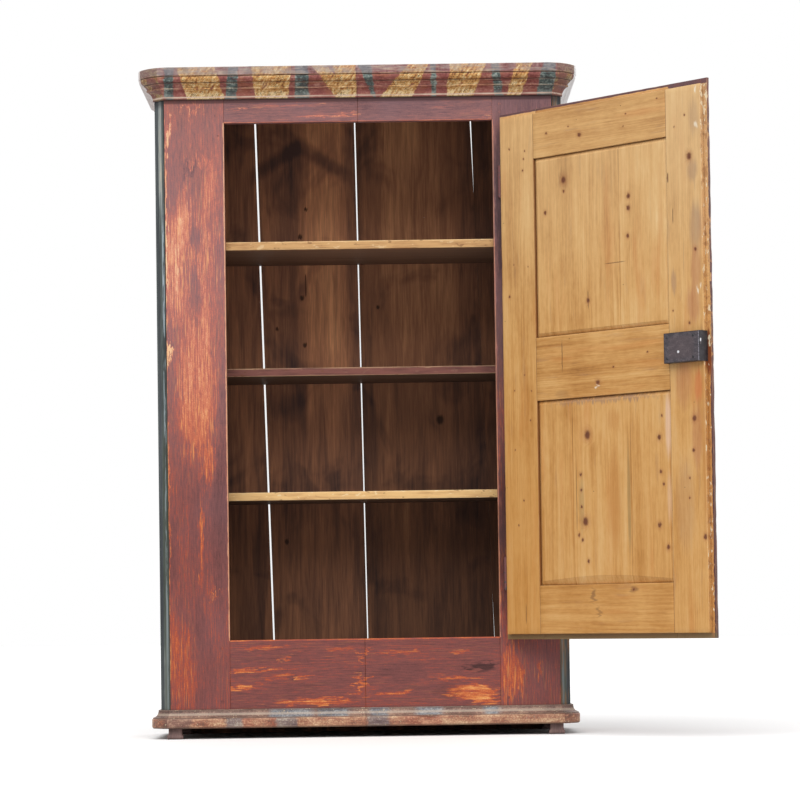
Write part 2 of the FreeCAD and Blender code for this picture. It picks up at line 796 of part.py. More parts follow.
    lock = lock_parts()
    sliding["lock_bolt"] = lock.pop("lock_bolt")
    for x, z in lock_nail_places():
        bore = nail_bore(x, lock_face, z, lock_nail_length, OUT)
        lock["lock_case"] = lock["lock_case"].cut(bore)
        for name in ("door_lock_stile", "door_middle_rail"):
            swinging[name] = swinging[name].cut(bore)
        door_nails.append(nail(x, lock_face, z, lock_nail_length, OUT))
    swinging.update(lock)
    swinging["door_nails"] = Part.makeCompound(door_nails)
    fixed["lock_keeper"] = box(-half_opening - keeper_width, -half_opening, frame_thick,
                               frame_thick + keeper_thick, bolt_middle - keeper_height / 2,
                               bolt_middle + keeper_height / 2)
    return fixed, swinging, sliding


def save(name, shape, opened):
    """Writes a piece with the door standing open and the origin under the case's middle."""
    if opened:
        shape.rotate(pivot, UP, door_open_angle)
    shape.translate(Vector(0, -case_depth / 2, 0))
    shape.exportStep("parts/%s.step" % name)


os.makedirs("parts", exist_ok=True)
fixed_parts, swinging_parts, sliding_parts = build()
for node, piece in fixed_parts.items():
    save(node, piece, False)
for node, piece in list(swinging_parts.items()) + list(sliding_parts.items()):
    save(node, piece, True)
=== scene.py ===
import json
import math

import bmesh
import bpy
from mathutils import Matrix, Vector, noise


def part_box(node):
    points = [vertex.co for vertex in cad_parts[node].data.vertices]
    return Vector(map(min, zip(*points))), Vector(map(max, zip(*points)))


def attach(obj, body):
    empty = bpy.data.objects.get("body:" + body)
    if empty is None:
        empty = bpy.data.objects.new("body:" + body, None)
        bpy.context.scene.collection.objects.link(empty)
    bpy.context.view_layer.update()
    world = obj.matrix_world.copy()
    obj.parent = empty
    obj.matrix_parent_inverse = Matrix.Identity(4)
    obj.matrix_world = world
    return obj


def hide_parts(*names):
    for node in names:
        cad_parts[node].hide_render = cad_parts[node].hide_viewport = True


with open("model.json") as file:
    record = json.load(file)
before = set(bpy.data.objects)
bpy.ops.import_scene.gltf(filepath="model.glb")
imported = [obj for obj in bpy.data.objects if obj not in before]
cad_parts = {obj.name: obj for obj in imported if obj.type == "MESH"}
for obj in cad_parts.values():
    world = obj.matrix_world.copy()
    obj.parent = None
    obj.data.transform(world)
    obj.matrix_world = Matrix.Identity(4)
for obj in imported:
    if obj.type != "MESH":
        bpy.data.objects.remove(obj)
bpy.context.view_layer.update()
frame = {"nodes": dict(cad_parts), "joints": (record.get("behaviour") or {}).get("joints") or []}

MM = 0.001

# The camera stands low in front of the cabinet, a little to the right of its middle.
# Its place was fitted to the outline in the photograph, 800 pixels square.
IMAGE_SIDE = 800.0
FOCUS = 3063.0
SHIFT_DOWN = 100.0
CAMERA_PLACE = Vector((0.074, -8.831, 0.338))
CAMERA_YAW = math.radians(0.2)
CAMERA_PITCH = math.radians(2.16)
CAMERA_ROLL = math.radians(0.82)
SENSOR = 36.0

# How the pieces' edges are worn: a radius, and how deep the chips in it go
SHARP = 0.5 * MM
SOFT = 1.1 * MM
WORN = 1.8 * MM
CHIP = 1.6 * MM
SUPPORT = 6.0 * MM
RING_SPACING = 14.0 * MM
CORNER_STEPS = 3

# Points nearer than this are one, and beyond this angle in degrees an edge is sharp
WELD = 0.01 * MM
SHARP_ANGLE = 50

# The mouldings: how closely their sections stand, how much they waver, where that dies out
# towards an end, the bend in degrees beyond which a corner is rubbed round, and how their
# line rounds off at the cants: the share of the canted run that is curved, and that run's
# length on the frame itself and per millimetre further out
MOULDING_SPACING = 5.0 * MM
WAVER = 0.45 * MM
CALM_LENGTH = 60.0 * MM
SHARP_BEND = 20
CORNER_ROUND = 0.48
CORNER_CHORD = 40.3 * MM
CHORD_GROWTH = 0.83

# The door's lip and how deep it is let into the block behind it, the bevels of its panels
# and how closely the panels' faces are divided
LIP_THICK = 11.0 * MM
LIP_WIDTH = 15.0 * MM
LIP_ROUND = 6.6 * MM
LIP_SUNK = 1.5 * MM
BACK_BEVEL = 12.0 * MM
BACK_IN = 30.0 * MM
FRONT_BEVEL = 38.0 * MM
FRONT_MARGIN = 16.0 * MM
FIELD_IN = FRONT_MARGIN + FRONT_BEVEL
BEVEL_DEPTH = 6.5 * MM
PANEL_WAVER = 0.5 * MM
PANEL_COLUMNS = 22
PANEL_ROWS = 30

RIGHT = Vector((1, 0, 0))
OUT = Vector((0, -1, 0))
UP = Vector((0, 0, 1))

# The door is drawn shut, and its pieces are then turned about the hinge to where it stands
door_joint = next(j for j in frame["joints"] if j["name"] == "door_hinge")
pivot = Vector(door_joint["pos_m"])
door_angle = math.radians(-min(door_joint["range_deg"]))
OPENED = (Matrix.Translation(pivot) @ Matrix.Rotation(door_angle, 4, "Z")
          @ Matrix.Translation(-pivot))
SHUT = OPENED.inverted()


def shut_box(node):
    """The lowest and highest corner of a door node with the door shut."""
    places = [SHUT @ v.co for v in frame["nodes"][node].data.vertices]
    return [Vector([pick(p[k] for p in places) for k in range(3)]) for pick in (min, max)]


# The shut door: its stiles, and the block behind the lip that fits into the opening
lock_low, lock_high = shut_box("door_lock_stile")
hinge_low, hinge_high = shut_box("door_hinge_stile")
LIP_BACK = hinge_low.y + LIP_THICK
BLOCK_SIDE = hinge_high.x - LIP_WIDTH
BLOCK_BOTTOM = hinge_low.z + LIP_WIDTH
BLOCK_TOP = hinge_high.z - LIP_WIDTH


def placed(name, data):
    """An object in the scene with this mesh, lamp or camera."""
    made = bpy.data.objects.new(name, data)
    bpy.context.scene.collection.objects.link(made)
    return made


class Mesh:
    """Points, faces and how worn each point is, gathered into one object."""

    def __init__(self):
        self.points = []
        self.wear = []
        self.faces = []

    def add(self, rows):
        """Takes in rows of (place, wear) pairs; gives the first point's number, how many
        points a row has and the number of the last row's first point."""
        start = len(self.points)
        for row in rows:
            for place, wear in row:
                self.points.append(place)
                self.wear.append(wear)
        return start, len(rows[0]), start + (len(rows) - 1) * len(rows[0])

    def tube(self, rings):
        """Joins rings of points and closes both ends."""
        start, count, last = self.add(rings)
        for a in range(start, last, count):
            for j in range(count):
                n = (j + 1) % count
                self.faces.append((a + j, a + n, a + n + count, a + j + count))
        self.faces.append(tuple(start + j for j in reversed(range(count))))
        self.faces.append(tuple(last + j for j in range(count)))

    def sheet(self, rows):
        """Joins rows of points into one open surface, with each quad split towards its
        nearest corner, and gives back the numbers of the points on its rim."""
        start, count, last = self.add(rows)
        for i in range(len(rows) - 1):
            for j in range(count - 1):
                a = start + i * count + j
                face = (a, a + 1, a + 1 + count, a + count)
                if (2 * i < len(rows) - 1) != (2 * j < count - 1):
                    face = face[1:] + face[:1]
                self.faces.append(face)
        between = range(start + count, last, count)
        return [*range(start, start + count), *(a + count - 1 for a in between),
                *reversed(range(last, last + count)), *reversed(between)]

    def bridge(self, rim, other):
        """Joins two rims with as many points each."""
        for k in range(len(rim)):
            n = (k + 1) % len(rim)
            self.faces.append((rim[k], rim[n], other[n], other[k]))

    def data(self, name, matrix, worn=True):
        """The points and faces as Blender's mesh, with all faces turned outwards."""
        mesh = bpy.data.meshes.new(name)
        mesh.from_pydata([matrix @ point for point in self.points], [], self.faces)
        if worn:
            wear = mesh.attributes.new("wear", "FLOAT", "POINT")
            wear.data.foreach_set("value", self.wear)
        work = bmesh.new()
        work.from_mesh(mesh)
        bmesh.ops.remove_doubles(work, verts=work.verts, dist=WELD)
        bmesh.ops.recalc_face_normals(work, faces=work.faces)
        work.to_mesh(mesh)
        work.free()
        return mesh

    def piece(self, name, body, slot, material, node, matrix=Matrix.Identity(4),
              angle=SHARP_ANGLE):
        """An object that stands for a CAD node. Edges are sharp beyond the angle."""
        mesh = self.data(name, matrix)
        mesh.polygons.foreach_set("use_smooth", [True] * len(mesh.polygons))
        mesh.set_sharp_from_angle(angle=math.radians(angle))
        mesh.materials.append(material)
        made = placed(name, mesh)
        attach(made, body)
        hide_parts(node)
        return made


def plank(mesh, low, high, grain, edges, chips=0.0, seed=0.0):
    """A board from corner to corner with worn long edges. The four radii in edges go
    round its section: far-far, near-far, near-near and far-near along the two axes."""
    i, j = [k for k in range(3) if k != grain]
    length = high[grain] - low[grain]
    support = min(SUPPORT, 0.15 * min(high[i] - low[i], high[j] - low[j]))
    end = min(edges)
    count = max(2, round((length - 2 * end) / RING_SPACING))
    stations = [(0.0, end), (0.3 * end, 0.3 * end)]
    stations += [(end + (length - 2 * end) * n / count, 0.0) for n in range(count + 1)]
    stations += [(length - 0.3 * end, 0.3 * end), (length, end)]
    rings = []
    for along, inset in stations:
        ring = []
        for c, (si, sj) in enumerate(((1, 1), (-1, 1), (-1, -1), (1, -1))):
            place = Vector((along * 22, seed + 3.1 * c, 0.7))
            rough = noise.noise(place)
            chip = max(0.0, noise.noise(place * 2.3 + Vector((9, 4, seed))) - 0.28)
            radius = edges[c] * (1.0 + 0.45 * rough) + chips * chip * 3.0
            centre = ((high if si > 0 else low)[i] - si * (radius + inset),
                      (high if sj > 0 else low)[j] - sj * (radius + inset))
            turns = [math.radians(90 * (c + step / CORNER_STEPS))
                     for step in range(CORNER_STEPS + 1)]
            round_it = [Vector((centre[0] + radius * math.cos(turn),
                                centre[1] + radius * math.sin(turn))) for turn in turns]
            away = [support * Vector((math.sin(turn), -math.cos(turn))) for turn in turns]
            section = [(round_it[0] + away[0], 0.0)] + [(p, 1.0) for p in round_it]
            section.append((round_it[-1] - away[-1], 0.0))
            for across, wear in section:
                point = Vector((0, 0, 0))
                point[grain] = low[grain] + along
                point[i], point[j] = across
                ring.append((point, 1.0 if inset > 0 else wear))
        rings.append(ring)
    mesh.tube(rings)


def arc(start, middle, end, steps=6):
    """Points on the circle through three points, without the first."""
    (ax, ay), (bx, by), (cx, cy) = start, middle, end
    d = 2 * (ax * (by - cy) + bx * (cy - ay) + cx * (ay - by))
    ux = ((ax**2 + ay**2) * (by - cy) + (bx**2 + by**2) * (cy - ay)
          + (cx**2 + cy**2) * (ay - by)) / d
    uy = ((ax**2 + ay**2) * (cx - bx) + (bx**2 + by**2) * (ax - cx)
          + (cx**2 + cy**2) * (bx - ax)) / d
    radius = math.hypot(ax - ux, ay - uy)
    first, mid, last = [math.atan2(y - uy, x - ux) for x, y in (start, middle, end)]
    mid = first + math.remainder(mid - first, math.tau)
    last = mid + math.remainder(last - mid, math.tau)
    turns = [first + (last - first) * k / steps for k in range(1, steps + 1)]
    return [(ux + radius * math.cos(turn), uy + radius * math.sin(turn)) for turn in turns]


def outline(profile, reach, height, soften):
    """A moulding's outline as (out, up, wear), with its sharp corners rubbed round."""
    points = [(profile[0][0] * reach, profile[0][1] * height)]
    for step in profile[1:]:
        scaled = [v * (reach if k % 2 == 0 else height) for k, v in enumerate(step)]
        points += arc(points[-1], scaled[:2], scaled[2:]) if len(step) == 4 else [tuple(scaled)]
    result = []
    for k, place in enumerate(points):
        here = Vector(place)
        a = Vector(points[k - 1]) - here
        b = Vector(points[(k + 1) % len(points)]) - here
        bend = math.degrees(math.pi - a.angle(b)) if a.length and b.length else 0.0
        if bend > SHARP_BEND and here.x > 0.01 * reach:
            cut_off = min(soften, 0.3 * a.length, 0.3 * b.length)
            wear = 1.0 if b.x * a.y > b.y * a.x else 0.0
            p = here + a.normalized() * cut_off
            q = here + b.normalized() * cut_off
            mid = (p + q) / 2 + (here - (p + q) / 2) * 0.45
            result += [(*p, wear * 0.6), (*mid, wear), (*q, wear * 0.6)]
        else:
            result.append((*here, 0.0))
    return result


def rounded(corner, before, after, reach, beyond):
    """A place near a corner of a moulding's line, moved in onto a curve that cuts the
    corner. Beyond is how far past the corner the place lies, and is negative before it."""
    if abs(beyond) >= reach:
        return corner + (after if beyond > 0 else before) * beyond
    s = 0.5 * (1 + beyond / reach)
    return (corner - before * (1 - s) ** 2 * reach) + after * s**2 * reach


def moulding(mesh, start, end, out, section, mitres, turns, seed):
    """A moulding along a line, hand-planed so that its faces waver a little. Mitres and
    turns give the slope of the cut and the neighbour's direction at each end; the corner
    there is rounder the further out it lies."""
    along = (end - start).normalized()
    length = (end - start).length
    count = max(3, round(length / MOULDING_SPACING))
    reach_all = max(reach for reach, height, wear in section)
    rings = []
    for n in range(count + 1):
        share = n / count
        calm = min(1.0, share * (1 - share) * length / CALM_LENGTH)
        ring = []
        for k, (reach, height, wear) in enumerate(section):
            first = start - along * reach * mitres[0]
            last = end + along * reach * mitres[1]
            place = Vector((length * share * 16 + seed, k * 0.35, seed))
            waver = abs(noise.noise(place)) * WAVER * calm
            chip = max(0.0, noise.noise(place * 2.7) - 0.3) * wear * 5 * MM * calm
            out_to = reach - (waver + chip if reach > 2 * MM else 0.0)
            span = (last - first).length
            bend = CORNER_ROUND * (CORNER_CHORD + CHORD_GROWTH * reach) * reach / reach_all
            point = first + along * span * share
            if turns[0] is not None and share <= 0.5:
                point = rounded(first, turns[0], along, bend, span * share)
            if turns[1] is not None and share > 0.5:
                point = rounded(last, along, turns[1], bend, span * (share - 1))
            ring.append((point + out * out_to + UP * height, wear))
        rings.append(ring)
    mesh.tube(rings)


def cut(piece, cutter, matrix=Matrix.Identity(4)):
    """Takes a cutter's shape out of a piece."""
    solid = placed("cutter", cutter.data("cutter", matrix, worn=False))
    bpy.context.view_layer.update()
    change = piece.modifiers.new("cut", "BOOLEAN")
    change.object = solid
    change.solver = "EXACT"
    change.use_self = True
    graph = bpy.context.evaluated_depsgraph_get()
    result = bpy.data.meshes.new_from_object(piece.evaluated_get(graph))
    piece.modifiers.remove(change)
    piece.data = result
    result.set_sharp_from_angle(angle=math.radians(SHARP_ANGLE))
    bpy.data.objects.remove(solid)


def rod(mesh, centre, radius, y0, y1, sides=16):
    """A plain cylinder along y, for a cutter."""
    turns = [math.tau * k / sides for k in range(sides)]
    mesh.tube([[(Vector((centre[0] + radius * math.cos(turn), y,
                         centre[1] + radius * math.sin(turn))), 0.0) for turn in turns]
               for y in (y0, y1)])


def tone(red, green, blue):
    """A colour as it looks on a screen, 0 to 255, turned into light."""
    parts = [v / 255 for v in (red, green, blue)]
    return tuple(p / 12.92 if p <= 0.04045 else ((p + 0.055) / 1.055) ** 2.4
                 for p in parts) + (1.0,)


class Signal:
    """A number that nodes work out. Sums with it add Math nodes, as do the methods power,
    fraction, size, most and least."""

    def __init__(self, shader, socket):
        self.shader = shader
        self.socket = socket

    def __rsub__(self, other):
        return self.shader.math("SUBTRACT", other, self)

    def rise(self, low, high):
        """0 below low and 1 above high, smooth between them."""
        return self.shader.mapped(self, low, high)

    def fall(self, low, high):
        return 1.0 - self.rise(low, high)

    def near(self, middle, inside, outside):
        """1 within the one distance of the middle, and 0 beyond the other."""
        return (self - middle).size().fall(inside, outside)


for method, operation in (("__add__", "ADD"), ("__radd__", "ADD"), ("__sub__", "SUBTRACT"),
                          ("__mul__", "MULTIPLY"), ("__rmul__", "MULTIPLY"),
                          ("__truediv__", "DIVIDE"), ("power", "POWER"), ("fraction", "FRACT"),
                          ("size", "ABSOLUTE"), ("most", "MAXIMUM"), ("least", "MINIMUM")):
    setattr(Signal, method, lambda self, *others, operation=operation:
            self.shader.math(operation, self, *others))


def union(parts):
    """The most of several signals."""
    whole = parts[0]
    for part in parts[1:]:
        whole = whole.most(part)
    return whole


def upright(shader):
    """The place along a grain that runs up, and the two places across it."""
    return shader.z, shader.x, shader.y


def level(shader):
    """The same for a grain that runs from side to side."""
    return shader.x, shader.z, shader.y


class Shader:
    """A principled material, shorthand for its nodes, and the colour laid on so far."""

    def __init__(self, name, grain_of=upright, door_node=False):
        self.material = bpy.data.materials.new(name)
        self.material.use_nodes = True
        self.tree = self.material.node_tree
        self.surface = self.tree.nodes["Principled BSDF"]
        place = self.node("TexCoord").outputs["Object"]
        if door_node:
            turned = self.node("VectorRotate", rotation_type="Z_AXIS")
            self.feed(turned.inputs["Vector"], place)
            turned.inputs["Center"].default_value = pivot
            turned.inputs["Angle"].default_value = -door_angle
            place = turned.outputs[0]
        parts = self.node("SeparateXYZ", place).outputs
        self.x, self.y, self.z = [Signal(self, part) for part in parts]
        self.wear = Signal(self, self.node("Attribute", attribute_name="wear").outputs["Fac"])
        self.grain = grain_of(self)
        self.vertical = grain_of is upright
        self.colour = None

    def feed(self, socket, value):
        if isinstance(value, Signal):
            value = value.socket
        if isinstance(value, bpy.types.NodeSocket):
            self.tree.links.new(value, socket)
        else:
            socket.default_value = value

    def node(self, kind, *values, **settings):
        made = self.tree.nodes.new("ShaderNode" + kind)
        for name, value in settings.items():
            setattr(made, name, value)
        for socket, value in zip(made.inputs, values):
            self.feed(socket, value)
        return made

    def math(self, operation, *values):
        return Signal(self, self.node("Math", *values, operation=operation).outputs[0])

    def mapped(self, value, low, high, start=0.0, end=1.0):
        """Start below low and end above high, smooth between them."""
        made = self.node("MapRange", value, low, high, start, end,
                         interpolation_type="SMOOTHSTEP")
        return Signal(self, made.outputs[0])

    def point(self, x, y, z):
        return self.node("CombineXYZ", x, y, z).outputs[0]

    def distance(self, place, centre):
        made = self.node("VectorMath", place, centre, operation="DISTANCE")
        return Signal(self, made.outputs["Value"])

    def noise(self, place, detail=3.0, rough=0.55, warp=0.0):
        made = self.node("TexNoise")
        for name, value in (("Vector", place), ("Scale", 1.0), ("Detail", detail),
                            ("Roughness", rough), ("Distortion", warp)):
            self.feed(made.inputs[name], value)
        return Signal(self, made.outputs[0])

    def specks(self, across, deep, up, seed=None, detail=3.0, rough=0.55, warp=0.0):
        """Noise around 0.5, with this many grains in a metre along x, y and z."""
        x = self.x * across if seed is None else self.x * across + seed
        return self.noise(self.point(x, self.y * deep if deep else 0.0, self.z * up),
                          detail, rough, warp)

    def streaks(self, length, width, seed, detail=3.0, rough=0.55, warp=0.0):
        """Noise around 0.5 in streaks of about this length and width along the grain."""
        u, v, w = self.grain
        place = self.point(u / length + seed, v / width, w / width + seed * 1.7)
        return self.noise(place, detail, rough, warp)

    def waves(self, *streak):
        """Streaks around 0."""
        return self.streaks(*streak) - 0.5

    def shaken(self, frayed, along, across):
        """The place on the front, shaken along the grain and across it."""
        long, wide = (across, along) if self.vertical else (along, across)
        return self.point(self.x + frayed * long, 0.0, self.z + frayed * wide)

    def spot(self, ground, x, z, rx, rz, amount=1.0):
        """This amount in the middle of an ellipse on the front, in millimetres, and 0
        outside it. The ground is where each point lies, shaken so that the edge is ragged."""
        near = self.node("VectorMath", ground, (1 / (rx * MM), 0.0, 1 / (rz * MM)),
                         (-x / rx, 0.0, -z / rz), operation="MULTIPLY_ADD")
        apart = self.node("VectorMath", near.outputs[0], operation="LENGTH").outputs["Value"]
        return self.mapped(apart, 0.4, 1.0, amount, 0.0)

    def tint(self, amount, under, over):
        """One colour over another by this amount."""
        made = self.node("Mix", data_type="RGBA")
        for index, value in ((0, amount), (6, under), (7, over)):
            self.feed(made.inputs[index], value)
        return made.outputs[2]

    def coat(self, amount, *over):
        """Lays a colour, or a red, green and blue, over what is there by this amount."""
        self.colour = self.tint(amount, self.colour, tone(*over) if len(over) == 3 else over[0])

    def scaled(self, colour, amount):
        """A colour made darker or lighter by a number that varies."""
        made = self.node("VectorMath", operation="SCALE")
        self.feed(made.inputs[0], colour)
        self.feed(made.inputs["Scale"], amount)
        return made.outputs[0]

    def dim(self, share):
        """Takes this share of the light from the colour."""
        self.colour = self.scaled(self.colour, 1.0 - share)

    def ramp(self, amount, *stops):
        """A colour from stops, each a position and a red, green and blue."""
        made = self.node("ValToRGB", amount)
        marks = made.color_ramp.elements
        while len(marks) < len(stops):
            marks.new(0.5)
        for mark, (position, *colour) in zip(marks, stops):
            mark.position = position
            mark.color = tone(*colour)
        return made.outputs[0]

    def oil(self, worn):
        """The front's oil paint, as worn as this, and how far up it is the violet one."""
        height = self.z.rise(*VIOLET_FROM)
        return self.tint(height, self.ramp(worn, *LOW_LAYERS),
                         self.ramp(worn, *HIGH_LAYERS)), height

    def hollow(self, reach):
        """How shut in a point is: 0 in the open, 1 deep in a joint. Darkening by it paints
        shade, with grime, into joints and hollows.
        """
        made = self.node("AmbientOcclusion", samples=4)
        made.inputs["Distance"].default_value = reach
        return 1.0 - Signal(self, made.outputs["AO"])

    def finish(self, roughness, height, depth, metallic=0.0, specular=0.5):
        """Roughness is worked out; height gives the bump, depth in metres."""
        bump = self.node("Bump")
        for node, name, value in (
                (self.surface, "Base Color", self.colour), (self.surface, "Metallic", metallic),
                (self.surface, "Roughness", roughness),
                (self.surface, "Specular IOR Level", specular), (bump, "Strength", 1.0),
                (bump, "Distance", depth), (bump, "Height", height),
                (self.surface, "Normal", bump.outputs[0])):
            self.feed(node.inputs[name], value)
        return self.material


# Worn oil paint on the front: from the whole film, through the red ground, to bare wood.
# The film is violet high up and browner low down. A layer is its place in the ramp and a
# red, green and blue; the last pair is the heights between which the one turns violet.
HIGH_LAYERS = [
    (0.00, 96, 66, 72), (0.25, 132, 92, 92), (0.42, 156, 104, 98), (0.55, 178, 106, 96),
    (0.68, 200, 120, 100), (0.84, 222, 150, 122), (1.00, 238, 198, 156),
]
LOW_LAYERS = [
    (0.00, 84, 46, 44), (0.25, 112, 64, 61), (0.42, 129, 72, 67), (0.55, 152, 72, 58),
    (0.68, 182, 86, 53), (0.84, 210, 118, 66), (1.00, 230, 168, 104),
]
VIOLET_FROM = (0.55, 1.30)

# The front and the posts get a painted shadow of the cornice right under it, from one height
# to another, and the stiles' edges nearer to the middle than this are by the opening
CORNICE_SHADE = (1.788, 1.795)
POST_SHADE = (1.775, 1.795)
BY_OPENING = 0.44


def red_paint(name, grain_of, base, rubs=(), seed=0.0, film=0.0, shades=(),
              edges_between=None, rim=0.50):
    """Red paint with a violet film, worn in streaks along the grain. A rub is a place
    (along x, up z), its radii and how much more, or less, is worn away there; a shade is
    the same for a share of the colour taken away, as painted shade beside the door and under
    the cornice. The edges by the opening are rubbed only between two heights, and the rim
    says how much."""
    shader = Shader(name, grain_of)
    broad = shader.waves(0.30, 0.035, seed + 1.3)
    middle = shader.waves(0.17, 0.0045, seed + 4.7, 3.0, 0.62, 0.10)
    flake = shader.waves(0.016, 0.0055, seed + 14.0, 3.0, 0.70)
    fine = shader.waves(0.045, 0.0019, seed + 8.1, 2.0)
    frayed = shader.waves(0.030, 0.008, seed + 20.0)
    speck = shader.specks(300, 300, 300, detail=1.0) - 0.5
    ground = shader.shaken(frayed, 0.16, 0.035)
    rubbed = sum([shader.spot(ground, *rub) for rub in rubs], middle * 0.0)
    worn = base + broad * 0.35 + middle * 0.50 + fine * 0.80 + flake * 0.42 + speck * 0.34
    worn = worn + rubbed * (1.0 + middle * 1.2)
    wear = shader.wear
    if edges_between:
        low, high = edges_between
        inner = (shader.x.size() - BY_OPENING).fall(0.0, 0.01)
        joined = shader.z.fall(low - 0.004, low).most(shader.z.rise(high, high + 0.004))
        wear = wear * (1.0 - inner * joined) * (0.70 + inner * 0.30)
    edge = (wear + frayed * 1.3 - 0.3).rise(0.15, 0.7)
    worn = worn + edge * rim
    shader.colour, height = shader.oil(worn)
    haze = shader.specks(5, 5, 4, seed, 2.0)
    veil = (haze - 0.30).rise(0.0, 0.5) * worn.fall(0.45, 0.75) * (0.35 + height * 0.65) * film
    shader.coat(veil, 134, 102, 108)
    scratch = shader.streaks(0.07, 0.0024, seed + 27.0, 1.0).rise(0.60, 0.70)
    shader.coat(scratch * (0.18 + rubbed * 2.4).rise(0.0, 0.8) * 0.8,
                shader.tint(height, tone(226, 146, 78), tone(236, 168, 118)))
    if edges_between:
        shader.coat(edge * inner * rim * 1.5, 226, 174, 142)
    # Painted shade: each takes a share of the colour away
    for shade in shades:
        shader.dim(shader.spot(ground, *shade))
    # Painted shadow of the cornice on the top of the front
    shader.coat(shader.z.rise(*CORNICE_SHADE) * 0.78, 60, 32, 34)
    # Painted shade, with grime, in joints and hollows
    shader.coat(shader.hollow(0.008).rise(0.25, 0.9) * 0.75, 40, 25, 24)
    rough = 0.44 + worn.rise(0.5, 0.9) * 0.25 + speck * 0.2
    return shader.finish(rough, worn * -0.5 + fine * 0.6, 0.35 * MM, specular=0.25)


GREEN_LAYERS = [
    (0.00, 26, 29, 30), (0.30, 55, 61, 59), (0.52, 84, 91, 88), (0.72, 118, 123, 120),
    (0.86, 154, 159, 157), (1.00, 190, 184, 164),
]


def green_paint(name, base, seed, inner_x, outer_x, warm=0.0):
    """The canted posts: greyed green, with a painted highlight between the grooves high up
    and lighter there at the foot, and with a thin pale strip beside the stile elsewhere. Warm
    is how brown it is worn."""
    shader = Shader(name)
    z = shader.z
    broad = shader.waves(0.35, 0.02, seed)
    fine = shader.waves(0.06, 0.004, seed + 3.0, 3.0, 0.65)
    across = (shader.x.size() - inner_x) / (outer_x - inner_x)
    # Painted highlight: the band between the grooves is lighter high up, and also at the foot
    ends = z.rise(1.40, 1.55).most(z.fall(0.16, 0.34) * 0.32)
    wide = across.rise(0.24, 0.36) * across.fall(0.56, 0.70) * ends
    thin = across.rise(0.10, 0.17) * across.fall(0.30, 0.42) * (1.0 - ends)
    groove = across.near(0.72, 0.03, 0.08)
    deep = z.rise(0.22, 0.36) * z.fall(0.50, 0.75)
    worn = base + broad * 0.6 + fine * 0.8 + wide * 0.38 + ends * 0.12 - groove * 0.30
    shader.colour = shader.ramp(worn - deep * 0.12, *GREEN_LAYERS)
    broken = (broad * 1.6 + fine * 1.8 + 0.5).rise(0.34, 0.58)
    shader.coat(thin * broken * 0.9, 168, 182, 188)
    blue = shader.streaks(0.5, 0.03, seed + 6.0, 2.0).rise(0.45, 0.7)
    shader.coat(blue * 0.25 + across.rise(0.6, 0.7) * 0.30, 80, 84, 92)
    shader.coat(across.fall(0.40, 0.70) * z.fall(0.60, 1.10) * 0.5, 72, 76, 60)
    brown = shader.streaks(0.10, 0.008, seed + 9.0).rise(0.42, 0.62)
    shader.coat(brown * warm, 132, 96, 66)
    shader.coat((shader.wear + fine - 0.3).rise(0.2, 0.8) * 0.4, 170, 164, 140)
    # Painted shade in the joint beside the stile, stronger high up
    shader.coat(across.fall(0.06, 0.13) * (0.35 + z.rise(0.9, 1.2) * 0.55), 24, 23, 24)
    # Painted shadow of the cornice on the top of the post
    shader.coat(z.rise(*POST_SHADE) * 0.7, 30, 30, 34)
    # Painted shade, with grime, in joints and hollows
    shader.coat(shader.hollow(0.006).rise(0.2, 0.8) * 0.8, 24, 24, 24)
    return shader.finish(0.48 + fine * 0.3, fine, 0.3 * MM, specular=0.25)


# The cornice's marbled bands: where the left edge is at the top and at the foot, where
# the right edge is, in millimetres from the seam, and the colour
CORNICE_BANDS = [
    (-544, -544, -514, -520, "teal"), (-508, -480, -400, -374, "ochre"),
    (-360, -374, -332, -340, "teal"), (-296, -288, -182, -196, "ochre"),
    (-174, -176, -136, -136, "teal"), (-128, -60, -88, -2, "ochre"),
    (-70, -40, -2, -2, "ochre"), (2, 44, 40, 52, "teal"), (146, 62, 202, 156, "ochre"),
    (206, 210, 224, 224, "teal"), (262, 252, 364, 328, "ochre"), (376, 388, 400, 414, "teal"),
    (450, 420, 496, 462, "ochre"), (522, 506, 564, 556, "teal"),
]


def band(shader, height, limits, ragged):
    """1 inside a slanting band of the cornice."""
    left_top, left_foot, right_top, right_foot = [v * MM for v in limits]
    left = height * (left_top - left_foot) + left_foot
    right = height * (right_top - right_foot) + right_foot
    x = shader.x + ragged
    return (x - left).rise(-0.006, 0.005) * (right - x).rise(-0.005, 0.006)


def stripe(height, middle, half):
    """1 on a line that runs along a moulding at a share of its height."""
    return height.near(middle, half * 0.4, half)


